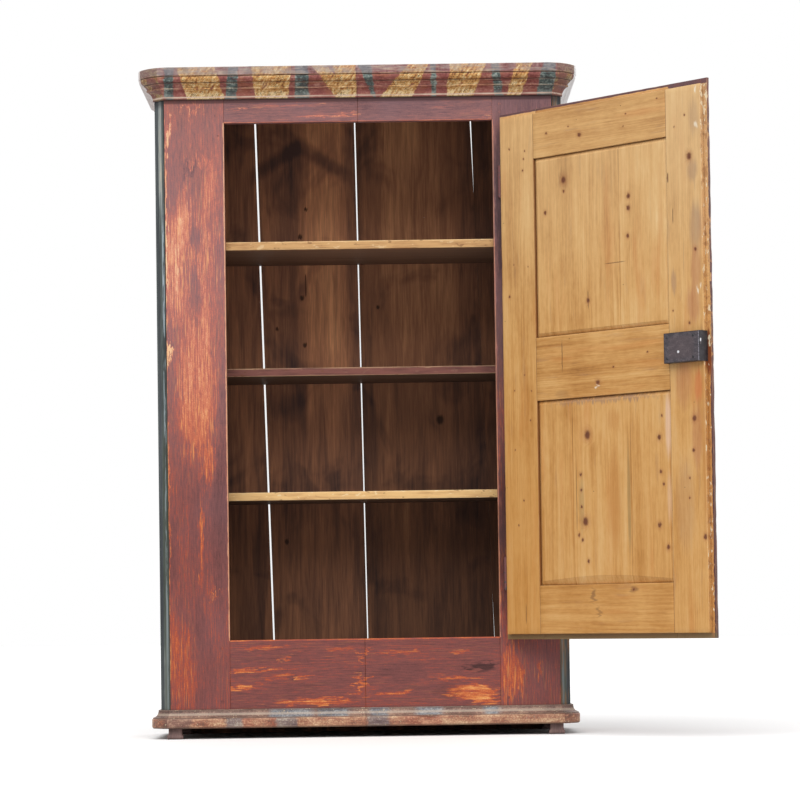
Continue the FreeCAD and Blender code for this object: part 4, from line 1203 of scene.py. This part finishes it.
def surround(node, profile, slot, materials):
    """A moulding round the front and sides: two front halves, two canted corners and
    two returns. A material is for a part on either side, or for one of its two pieces."""
    low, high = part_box(node + "_front_right")
    side_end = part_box(node + "_side_right")[1].y
    post_low, post_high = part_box("corner_post_right")
    cant = post_high.x - post_low.x
    section = outline(profile, high.y - low.y, high.z - low.z, 1.0 * MM)
    bevel = math.tan(math.radians(22.5))
    seam = Vector((low.x, high.y, low.z))
    front_end = Vector((post_low.x, high.y, low.z))
    side_start = Vector((post_high.x, high.y + cant, low.z))
    side_end = Vector((post_high.x, side_end, low.z))
    cant_along = Vector((1, 1, 0)).normalized()
    cant_out = Vector((1, -1, 0)).normalized()
    runs = {"front": (seam, front_end, OUT, (0.0, bevel), (None, cant_along)),
            "corner": (front_end, side_start, cant_out, (bevel, bevel), (RIGHT, -OUT)),
            "side": (side_start, side_end, RIGHT, (bevel, 0.0), (cant_along, None))}
    for sign, side in ((1, "right"), (-1, "left")):
        flip = Matrix.Scale(sign, 4, RIGHT)
        for part, (start, end, out, mitres, turns) in runs.items():
            mesh = Mesh()
            turns = [turn and flip @ turn for turn in turns]
            moulding(mesh, flip @ start, flip @ end, flip @ out, section, mitres, turns,
                     10.0 + 3.0 * sign + len(part))
            name = "%s_%s_%s" % (node, part, side)
            material = materials.get("%s_%s" % (part, side)) or materials[part]
            mesh.piece(name + "_worn", "case", slot, material, name, angle=35)


# A foot's waist as a share of its pad, and how far its corners are knocked off
WAIST = 37 / 44
FOOT_ROUND = 3.0 * MM


def foot_piece(name, material):
    """A square foot: a pad, a flare and a waist, with its corners knocked off."""
    low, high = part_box(name)
    middle = (low + high) / 2
    half = (high.x - low.x) / 2
    waist = half * WAIST
    levels = [(0.0, half - 1.6 * MM), (1.4 * MM, half), (9.5 * MM, half),
              (11.4 * MM, half - 0.8 * MM), (12.0 * MM, half - 2.5 * MM),
              (14.0 * MM, (half + waist) / 2 - 1.0 * MM),
              (17.0 * MM, waist), (24.0 * MM, waist), (30.0 * MM, waist)]
    rings = []
    for up, size in levels:
        ring = []
        for c, (sign_x, sign_y) in enumerate(((1, 1), (-1, 1), (-1, -1), (1, -1))):
            for step in range(4):
                turn = math.radians(90 * c + 30 * step)
                x = sign_x * (size - FOOT_ROUND) + FOOT_ROUND * math.cos(turn)
                y = sign_y * (size - FOOT_ROUND) + FOOT_ROUND * math.sin(turn)
                dent = 1.0 - 0.03 * max(0.0, noise.noise(Vector((x, y, up)) * 70 + middle * 9))
                ring.append((Vector((middle.x + x * dent, middle.y + y * dent, low.z + up)),
                             1.0 if step in (1, 2) else 0.2))
        rings.append(ring)
    mesh = Mesh()
    mesh.tube(rings)
    mesh.piece(name + "_worn", "case", "foot_paint", material, name)


def shelf_piece(name, material, half_front):
    """A shelf, whose ends stop short of the corner posts where it would run into them."""
    low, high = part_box(name)
    if high.x > half_front and low.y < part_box("corner_post_right")[1].y:
        low.x, high.x = -half_front, half_front
    mesh = Mesh()
    plank(mesh, low, high, 0, (SHARP, WORN, SOFT, SHARP), CHIP * 1.4, low.z * 11)
    mesh.piece(name + "_worn", "case", "shelf_pine", material, name)


def panel(name, z0, z1, bow, material, node):
    """A fielded panel between the door's frame pieces. Bow is how far the lower bevel's
    line rises on the back."""
    low, high = shut_box(node)
    x0, x1 = lock_high.x, hinge_low.x
    mesh = Mesh()
    faces = {"back": ((0.0, BACK_BEVEL, BACK_IN), (high.y - BEVEL_DEPTH, high.y, high.y)),
             "front": ((0.0, FRONT_MARGIN, FIELD_IN),
                       (low.y + BEVEL_DEPTH, low.y + BEVEL_DEPTH, low.y))}
    rims = []
    for side, (offsets, depths) in faces.items():
        rows = []
        for r in range(PANEL_ROWS + 5):
            row = []
            for c in range(PANEL_COLUMNS + 5):
                edge_c = min(c, PANEL_COLUMNS + 4 - c, 2)
                edge_r = min(r, PANEL_ROWS + 4 - r, 2)
                if c < 2 or c > PANEL_COLUMNS + 2:
                    x = x0 + offsets[edge_c] if c < 2 else x1 - offsets[edge_c]
                else:
                    x = x0 + offsets[2] + (x1 - x0 - 2 * offsets[2]) * ((c - 2) / PANEL_COLUMNS)
                lift = 0.0
                if side == "back" and bow:
                    share = min(1.0, max(0.0, (x1 - x) / (x1 - x0)))
                    lift = bow * math.sin(math.pi * share) ** 1.2
                if r < 2:
                    z = z0 + offsets[r] + (lift if r == 1 else 0.0)
                elif r > PANEL_ROWS + 2:
                    z = z1 - offsets[edge_r]
                else:
                    bottom = z0 + offsets[2] + lift
                    z = bottom + (z1 - offsets[2] - bottom) * (r - 2) / PANEL_ROWS
                edge = min(edge_c, edge_r)
                y = depths[edge]
                if edge == 2:
                    waver = noise.noise(Vector((x * 9, z * 2.5, 5.0 + bow)))
                    waver = abs(waver) * PANEL_WAVER
                    y += -waver if side == "back" else waver
                row.append((Vector((x, y, z)), 0.5 if edge == 1 else 0.0))
            rows.append(row)
        rims.append(mesh.sheet(rows))
    mesh.bridge(*rims)
    mesh.piece(name, "door", "door_pine", material, node, OPENED, angle=3)


# A chip in the door's lip: its height, half its length and its depth
CHIP_UP = 1216.0 * MM
CHIP_HALF = 12.0 * MM
CHIP_DEEP = 2.5 * MM

# The keyhole: its place, the radius of its round part, and half the width and the length
# of its slot
KEY_PLACE = (-301.0, 1023.0)
KEY_ROUND = 5.5 * MM
SLOT_HALF = 3.5 * MM
SLOT_LONG = 18.0 * MM

# The door's knots and stains, and the looks of its rails: knots, pith, seed, stains, lines
HINGE_KNOTS = [
    (279, 1628, 3), (284, 1606, 3.5), (288, 1574, 4), (328, 1313, 2.5), (273, 1304, 2.5),
    (347, 1225, 5), (293, 1003, 3), (267, 957, 2.5), (333, 961, 2.5), (272, 875, 3),
    (334, 795, 3), (303, 653, 3), (324, 584, 3), (340, 1640, 3),
]
LOCK_KNOTS = [
    (-333, 1540, 12), (-319, 1651, 3.5), (-282, 1624, 3), (-251, 1491, 4), (-324, 1099, 5),
    (-267, 1136, 3), (-350, 1292, 6), (-336, 846, 10), (-331, 762, 6), (-316, 690, 4),
    (-314, 637, 4), (-367, 533, 9),
]
LOCK_STAINS = [
    (-352, 930, 20, 60, 0.75, "rust"), (-345, 800, 26, 120, 0.35, "red"),
    (-300, 940, 40, 90, 0.30, "red"), (-340, 1150, 30, 70, 0.45, "red"),
    (-300, 620, 44, 160, 0.22, "grey"), (-352, 1350, 30, 90, 0.45, "grey"),
    (-350, 1245, 26, 70, 0.50, "red"), (-272, 1210, 12, 44, 0.40, "grey"),
    (-345, 1500, 24, 40, 0.45, "grey"), (-352, 1640, 22, 70, 0.35, "grey"),
    (-359, 1714, 6, 9, 0.8, "white"), (-359, 1616, 8, 10, 0.7, "white"),
    (-366, 1198, 4, 8, 0.9, "white"), (-354, 1192, 4, 9, 0.8, "white"),
    (-379, 1016, 9, 76, 2.2, "oxide"), (-368, 790, 9, 330, 0.6, "gold"),
    (-385, 1270, 3, 46, 0.7, "grey"), (-383, 1720, 7, 40, 0.6, "grey"),
]
LOWER_STAINS = [
    (-42, 640, 30, 190, 0.50, "gold"), (-42, 860, 34, 40, 0.35, "gold"),
    (-95, 640, 9, 190, 0.55, "olive"), (83, 640, 12, 110, 0.35, "olive"),
    (0, 918, 260, 13, 0.60, "grey"), (-240, 830, 13, 110, 0.75, "chalk"),
    (-240, 640, 10, 90, 0.45, "chalk"), (118, 660, 12, 200, 0.30, "gold"),
]
RAIL_LOOKS = {
    "door_top_rail": ([(194, 1667, 4.5), (67, 1647, 8), (-107, 1682, 3), (-222, 1708, 3),
                       (-97, 1650, 3), (109, 1675, 3)], (1690, -250), 11.0, [], []),
    "door_middle_rail": ([(12, 964, 9), (-46, 1002, 4), (-172, 1033, 4)], (1060, -270), 13.0,
                         [(150, 940, 40, 14, 0.25, "brown"), (14, 952, 6, 9, 0.8, "white")],
                         [(146, 1045, 1.8, 50)]),
    "door_bottom_rail": ([(-108, 399, 5)], (330, -290), 17.0,
                         [(44, 384, 12, 26, 0.55, "brown"), (26, 340, 9, 20, 0.50, "brown"),
                          (-108, 399, 20, 12, 0.45, "brown")], []),
}

# A panel's knots, pith, seed, boards, bow, stains and lines
PANEL_LOOKS = {
    "door_lower_panel": ([(57, 823, 15), (-208, 803, 9), (-218, 860, 4), (84, 716, 6),
                          (83, 673, 5), (83, 627, 5), (69, 587, 14), (94, 551, 6),
                          (81, 537, 6), (-211, 711, 6), (-221, 678, 5), (-204, 569, 9),
                          (-234, 509, 8), (60, 479, 6)],
                         (40, -310), 29.0, (113, -103, -244), 13.0, LOWER_STAINS,
                         [(101, 655, 1.4, 110)]),
    "door_upper_panel": ([(132, 1530, 12), (132, 1499, 5), (-110, 1459, 9), (-109, 1427, 9),
                          (-105, 1352, 7), (204, 1447, 7), (46, 1190, 8)],
                         (-20, -330), 23.0, (-75,), 0.0, [(132, 1530, 26, 34, 0.30, "brown")],
                         [(-57, 1284, 44, 1.4), (46, 1192, 2.0, 30)]),
}


def board(name, grain, block, lip, edges, lip_edges, material, seed):
    """A piece of the door's frame, drawn shut: a block in the opening, and before it a
    lip that laps over the frame."""
    mesh = Mesh()
    plank(mesh, Vector(block[0]), Vector(block[1]), grain, edges, CHIP * 0.5, seed)
    if lip:
        plank(mesh, Vector(lip[0]), Vector(lip[1]), grain, lip_edges, CHIP, seed + 5)
    return mesh.piece(name + "_worn", "door", "door_pine", material, name, OPENED)


def cut_lock_stile(stile):
    """Takes the chip in the lip and the keyhole out of the lock stile."""
    front, back = hinge_low.y, hinge_high.y
    chip = Mesh()
    plank(chip, Vector((lock_low.x - 2 * MM, front - MM, CHIP_UP - CHIP_HALF)),
          Vector((lock_low.x + CHIP_DEEP, LIP_BACK + MM, CHIP_UP + CHIP_HALF)), 2,
          [0.4 * MM] * 4)
    cut(stile, chip, OPENED)
    key = Mesh()
    x, z = [v * MM for v in KEY_PLACE]
    rod(key, (x, z), KEY_ROUND, front - 2 * MM, back + 2 * MM, 24)
    plank(key, Vector((x - SLOT_HALF, front - 2 * MM, z - SLOT_LONG)),
          Vector((x + SLOT_HALF, back + 2 * MM, z)), 2, [0.3 * MM] * 4)
    cut(stile, key, OPENED)


def door_pieces():
    """The door's frame and panels, drawn shut."""
    front, back = hinge_low.y, hinge_high.y
    x0, x1 = lock_high.x, hinge_low.x
    sunk = LIP_BACK - LIP_SUNK
    hinge = pine("pine_hinge_stile", upright, 2.0, (240, -330), HINGE_KNOTS,
                 shade=0.04, lines=[(301, 338, 1.6, 34)], low_shade=0.50)
    board("door_hinge_stile", 2,
          ((x1, sunk, BLOCK_BOTTOM), (BLOCK_SIDE, back, BLOCK_TOP)),
          ((x1, front, hinge_low.z), (hinge_high.x, LIP_BACK, hinge_high.z)),
          (WORN, SHARP, SHARP, SHARP), (SHARP, SHARP, SHARP, LIP_ROUND), hinge, 1.0)
    lock = pine("pine_lock_stile", upright, 7.0, (-400, -300), LOCK_KNOTS,
                shade=-0.01, smudge=0.20, stains=LOCK_STAINS, pale=0.42,
                lines=[(-256, 1491, 3.0, 16), (-272, 1388, 1.6, 24)])
    made = board("door_lock_stile", 2,
                 ((-BLOCK_SIDE, sunk, BLOCK_BOTTOM), (x0, back, BLOCK_TOP)),
                 ((lock_low.x, front, lock_low.z), (x0, LIP_BACK, lock_high.z)),
                 (SHARP, WORN, SHARP, SHARP), (SHARP, SHARP, LIP_ROUND, SHARP), lock, 21.0)
    cut_lock_stile(made)
    frames = {name: shut_box(name) for name in RAIL_LOOKS}
    for name, (low, high) in frames.items():
        top = name == "door_top_rail"
        bottom = name == "door_bottom_rail"
        lip = (top or bottom) and ((x0, front, low.z), (x1, LIP_BACK, high.z))
        block = ((x0, sunk if lip else front, BLOCK_BOTTOM if bottom else low.z),
                 (x1, back, BLOCK_TOP if top else high.z))
        knots, pith, seed, stains, lines = RAIL_LOOKS[name]
        material = pine("pine_" + name, level, seed, pith, knots, shade=0.11, smudge=0.12,
                        stains=stains, lines=lines, pale=0.14)
        lip_edges = (SHARP, LIP_ROUND if top else SHARP, LIP_ROUND if bottom else SHARP, SHARP)
        board(name, 0, block, lip, (SOFT, SHARP, SHARP, SOFT), lip_edges, material, seed)
    top_rail, middle_rail, bottom_rail = frames.values()
    spans = {"door_lower_panel": (bottom_rail[1].z, middle_rail[0].z),
             "door_upper_panel": (middle_rail[1].z, top_rail[0].z)}
    for name, (z0, z1) in spans.items():
        knots, pith, seed, boards, bow, stains, lines = PANEL_LOOKS[name]
        field = (x0 + FIELD_IN, x1 - FIELD_IN, z0 + FIELD_IN, z1 - FIELD_IN)
        material = pine("pine_" + name, upright, seed, pith, knots, boards,
                        shade=-0.05, stains=stains, lines=lines, field=field)
        panel(name + "_worn", z0, z1, bow * MM, material, name)


# A shelf's colours where its edge is pale and dark, how flecked it is and its lip's colour
SHELF_LOOKS = {
    "shelf_top": ((206, 162, 110), (152, 106, 70), 0.55, (168, 122, 84)),
    "shelf_middle": ((124, 78, 70), (84, 52, 48), 0.12, None),
    "shelf_lower": ((232, 190, 130), (186, 138, 90), 0.80, None),
}

# How bright a back board is, and its lighter stretch
BACK_LOOKS = {
    "back_board_1": (1.40, None), "back_board_2": (1.38, (-105, 95)),
    "back_board_3": (0.93, (150, 160)), "back_board_4": (0.87, None),
}

# Iron nodes that stay as they are: the material's name, how bright it is, its seed, whether
# it is on the door, and what else it has
IRONS = {
    "case_nails": ("case_nail_iron", 0.35, 1.0, False, {"red": 0.6}),
    "hinge_frame_leaves": ("frame_leaf_iron", 0.3, 2.0, False, {"red": 1.2}),
    "hinge_pins": ("hinge_pin_iron", 0.3, 3.0, False, {"red": 0.8}),
    "lock_keeper": ("keeper_iron", 0.4, 4.0, False, {}),
    "hinge_door_leaves": ("door_leaf_iron", 0.3, 5.0, True, {"red": 1.0}),
    "door_nails": ("door_nail_iron", 0.12, 6.0, True, {"sooty": 0.5}),
    "lock_forend": ("lock_forend_iron", 0.2, 8.0, True, {}),
    "lock_key_post": ("key_post_iron", 0.9, 9.0, True, {"shine": 0.85}),
    "escutcheon": ("escutcheon_iron", 0.4, 10.0, True, {}),
}


def build():
    """All pieces of the cabinet with their materials."""
    half_open = stiles()
    rails(half_open)
    low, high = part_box("cornice_front_right")
    cap = high.z - 0.5 * MM
    surround("cornice", CORNICE, "cornice_paint", {
        "front": cornice_paint("marbled_cornice", low.z, high.z),
        "corner": cornice_paint("brown_cornice", low.z, high.z, banded=False),
        # The returns are pale paint brightened into a painted highlight where the sides catch
        # the light, the right one whiter than the left
        "side_right": worn_wood("lit_white_return", (228, 224, 224), (255, 254, 254), level,
                                3.0, cap=cap),
        "side_left": worn_wood("lit_pale_return", (194, 182, 180), (246, 236, 232), level,
                               3.0, cap=cap)})
    low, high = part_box("base_moulding_front_right")
    blotched = base_paint("blotched_base", low.z, high.z)
    surround("base_moulding", BASE, "base_paint", {
        "front": blotched, "side": blotched,
        "corner": base_paint("base_corners", low.z, high.z, 0.17)})
    foot_paint = worn_wood("worn_foot_paint", (58, 42, 42), (164, 134, 128), seed=6.0)
    for place in ("front_left", "front_right", "rear_left", "rear_right"):
        foot_piece("foot_" + place, foot_paint)
    half_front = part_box("corner_post_right")[0].x
    for n, (name, (pale, dark, flecked, lip)) in enumerate(SHELF_LOOKS.items()):
        wood = shelf_wood(name + "_pine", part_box(name)[0].y, pale, dark, 4.0 + 7.0 * n,
                          flecked, lip)
        shelf_piece(name, wood, half_front - 0.1 * MM)
    door_pieces()
    carried()


def carried():
    """Finishes for the CAD nodes that stay as they are."""
    low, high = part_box("corner_post_right")
    dress("corner_post_left", green_paint("green_post_left", 0.42, 3.0, low.x, high.x))
    dress("corner_post_right", green_paint("green_post_right", 0.28, 13.0, low.x, high.x, 0.95))
    side = worn_wood("side_board_paint", (92, 62, 54), (150, 104, 86), seed=31.0)
    dress("side_board_left", side)
    dress("side_board_right", side)
    for n, (name, look) in enumerate(BACK_LOOKS.items()):
        low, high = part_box(name)
        dress(name, back_wood(name + "_wood", 7.0 * n, low.x, high.x, *look))
    dress("top_board", worn_wood("dusty_pine", (104, 84, 66), (160, 132, 102), level, 51.0))
    inner = worn_wood("inner_pine", (62, 44, 34), (112, 80, 56), level, 61.0)
    for name in ("bottom_board", "foot_blocks", "shelf_bearers_left", "shelf_bearers_right"):
        dress(name, inner)
    dress("frame_pegs", red_paint("red_pegs", upright, 0.36, seed=71.0))
    for name, (*look, more) in IRONS.items():
        dress(name, iron(*look, **more))
    dress("lock_case", lock_iron("lock_case_iron", *shut_box("lock_case")))
    low, high = shut_box("lock_bolt")
    dress("lock_bolt", iron("bolt_iron", 0.5, 11.0, True, shine=0.85,
                            glint=(low.z + high.z) / 2 + 3 * MM))
    strips = worn_wood("ochre_strips", (142, 92, 50), (224, 172, 104), seed=81.0,
                       door_node=True)
    dress("door_lower_panel_moulding", strips)
    dress("door_upper_panel_moulding", strips)


# The light: white all round, a soft key from the left front and above, and fills. A sun is
# its name, its direction, its brightness and how many degrees wide it is.
AMBIENT = 0.42
SUNS = [
    ("key", (-0.20, -0.82, 1.04), 0.80, 60.0),
    ("fill", (0.9, -0.6, 0.5), 0.16, 60.0),
    ("rear", (0.3, 1.0, 0.7), 0.30, 60.0),
]
FLOOR_HALF = 30.0
FLOOR_SEEN = 0.97
FLOOR_CAST = 0.50


def direct(tree, cast, seen, target):
    """Feeds a socket one value where the camera, a reflection or clear glass looks, and
    another where light bounces."""
    path = tree.nodes.new("ShaderNodeLightPath")
    looks = path.outputs["Is Camera Ray"]
    for ray, clamp in (("Is Glossy Ray", False), ("Is Transmission Ray", True)):
        either = tree.nodes.new("ShaderNodeMath")
        either.operation = "ADD"
        either.use_clamp = clamp
        tree.links.new(looks, either.inputs[0])
        tree.links.new(path.outputs[ray], either.inputs[1])
        looks = either.outputs[0]
    choice = tree.nodes.new("ShaderNodeMapRange")
    choice.inputs["To Min"].default_value = cast
    choice.inputs["To Max"].default_value = seen
    tree.links.new(looks, choice.inputs["Value"])
    tree.links.new(choice.outputs[0], target)


def studio():
    """The suns, the white world and the floor."""
    for name, towards, brightness, spread in SUNS:
        lamp = bpy.data.lights.new(name, "SUN")
        lamp.energy = brightness * math.pi
        lamp.angle = math.radians(spread)
        sun = placed(name, lamp)
        sun.rotation_mode = "QUATERNION"
        sun.rotation_quaternion = Vector(towards).to_track_quat("Z", "Y")

    world = bpy.data.worlds.new("white_room")
    bpy.context.scene.world = world
    world.use_nodes = True
    background = world.node_tree.nodes["Background"]
    background.inputs["Color"].default_value = (1, 1, 1, 1)
    direct(world.node_tree, AMBIENT, 1.0, background.inputs["Strength"])

    half = FLOOR_HALF
    mesh = bpy.data.meshes.new("floor")
    mesh.from_pydata([(-half, -half, 0), (half, -half, 0), (half, half, 0), (-half, half, 0)],
                     [], [(0, 1, 2, 3)])
    paint = bpy.data.materials.new("white_floor")
    paint.use_nodes = True
    surface = paint.node_tree.nodes["Principled BSDF"]
    direct(paint.node_tree, FLOOR_CAST, FLOOR_SEEN, surface.inputs["Base Color"])
    surface.inputs["Roughness"].default_value = 0.9
    surface.inputs["Specular IOR Level"].default_value = 0.0
    mesh.materials.append(paint)
    placed("floor", mesh)


def camera():
    """The camera at the photograph's place, with its lens shifted down."""
    lens = bpy.data.cameras.new("camera")
    lens.sensor_width = SENSOR
    lens.lens = FOCUS / IMAGE_SIDE * SENSOR
    lens.shift_y = SHIFT_DOWN / IMAGE_SIDE
    lens.clip_end = 200.0
    made = placed("camera", lens)
    turn = (Matrix.Rotation(-CAMERA_YAW, 4, "Z")
            @ Matrix.Rotation(math.pi / 2 + CAMERA_PITCH, 4, "X")
            @ Matrix.Rotation(-CAMERA_ROLL, 4, "Z"))
    made.matrix_world = Matrix.Translation(CAMERA_PLACE) @ turn
    bpy.context.scene.camera = made


build()
studio()
camera()
bpy.context.scene.view_settings.view_transform = "Standard"
bpy.context.view_layer.update()
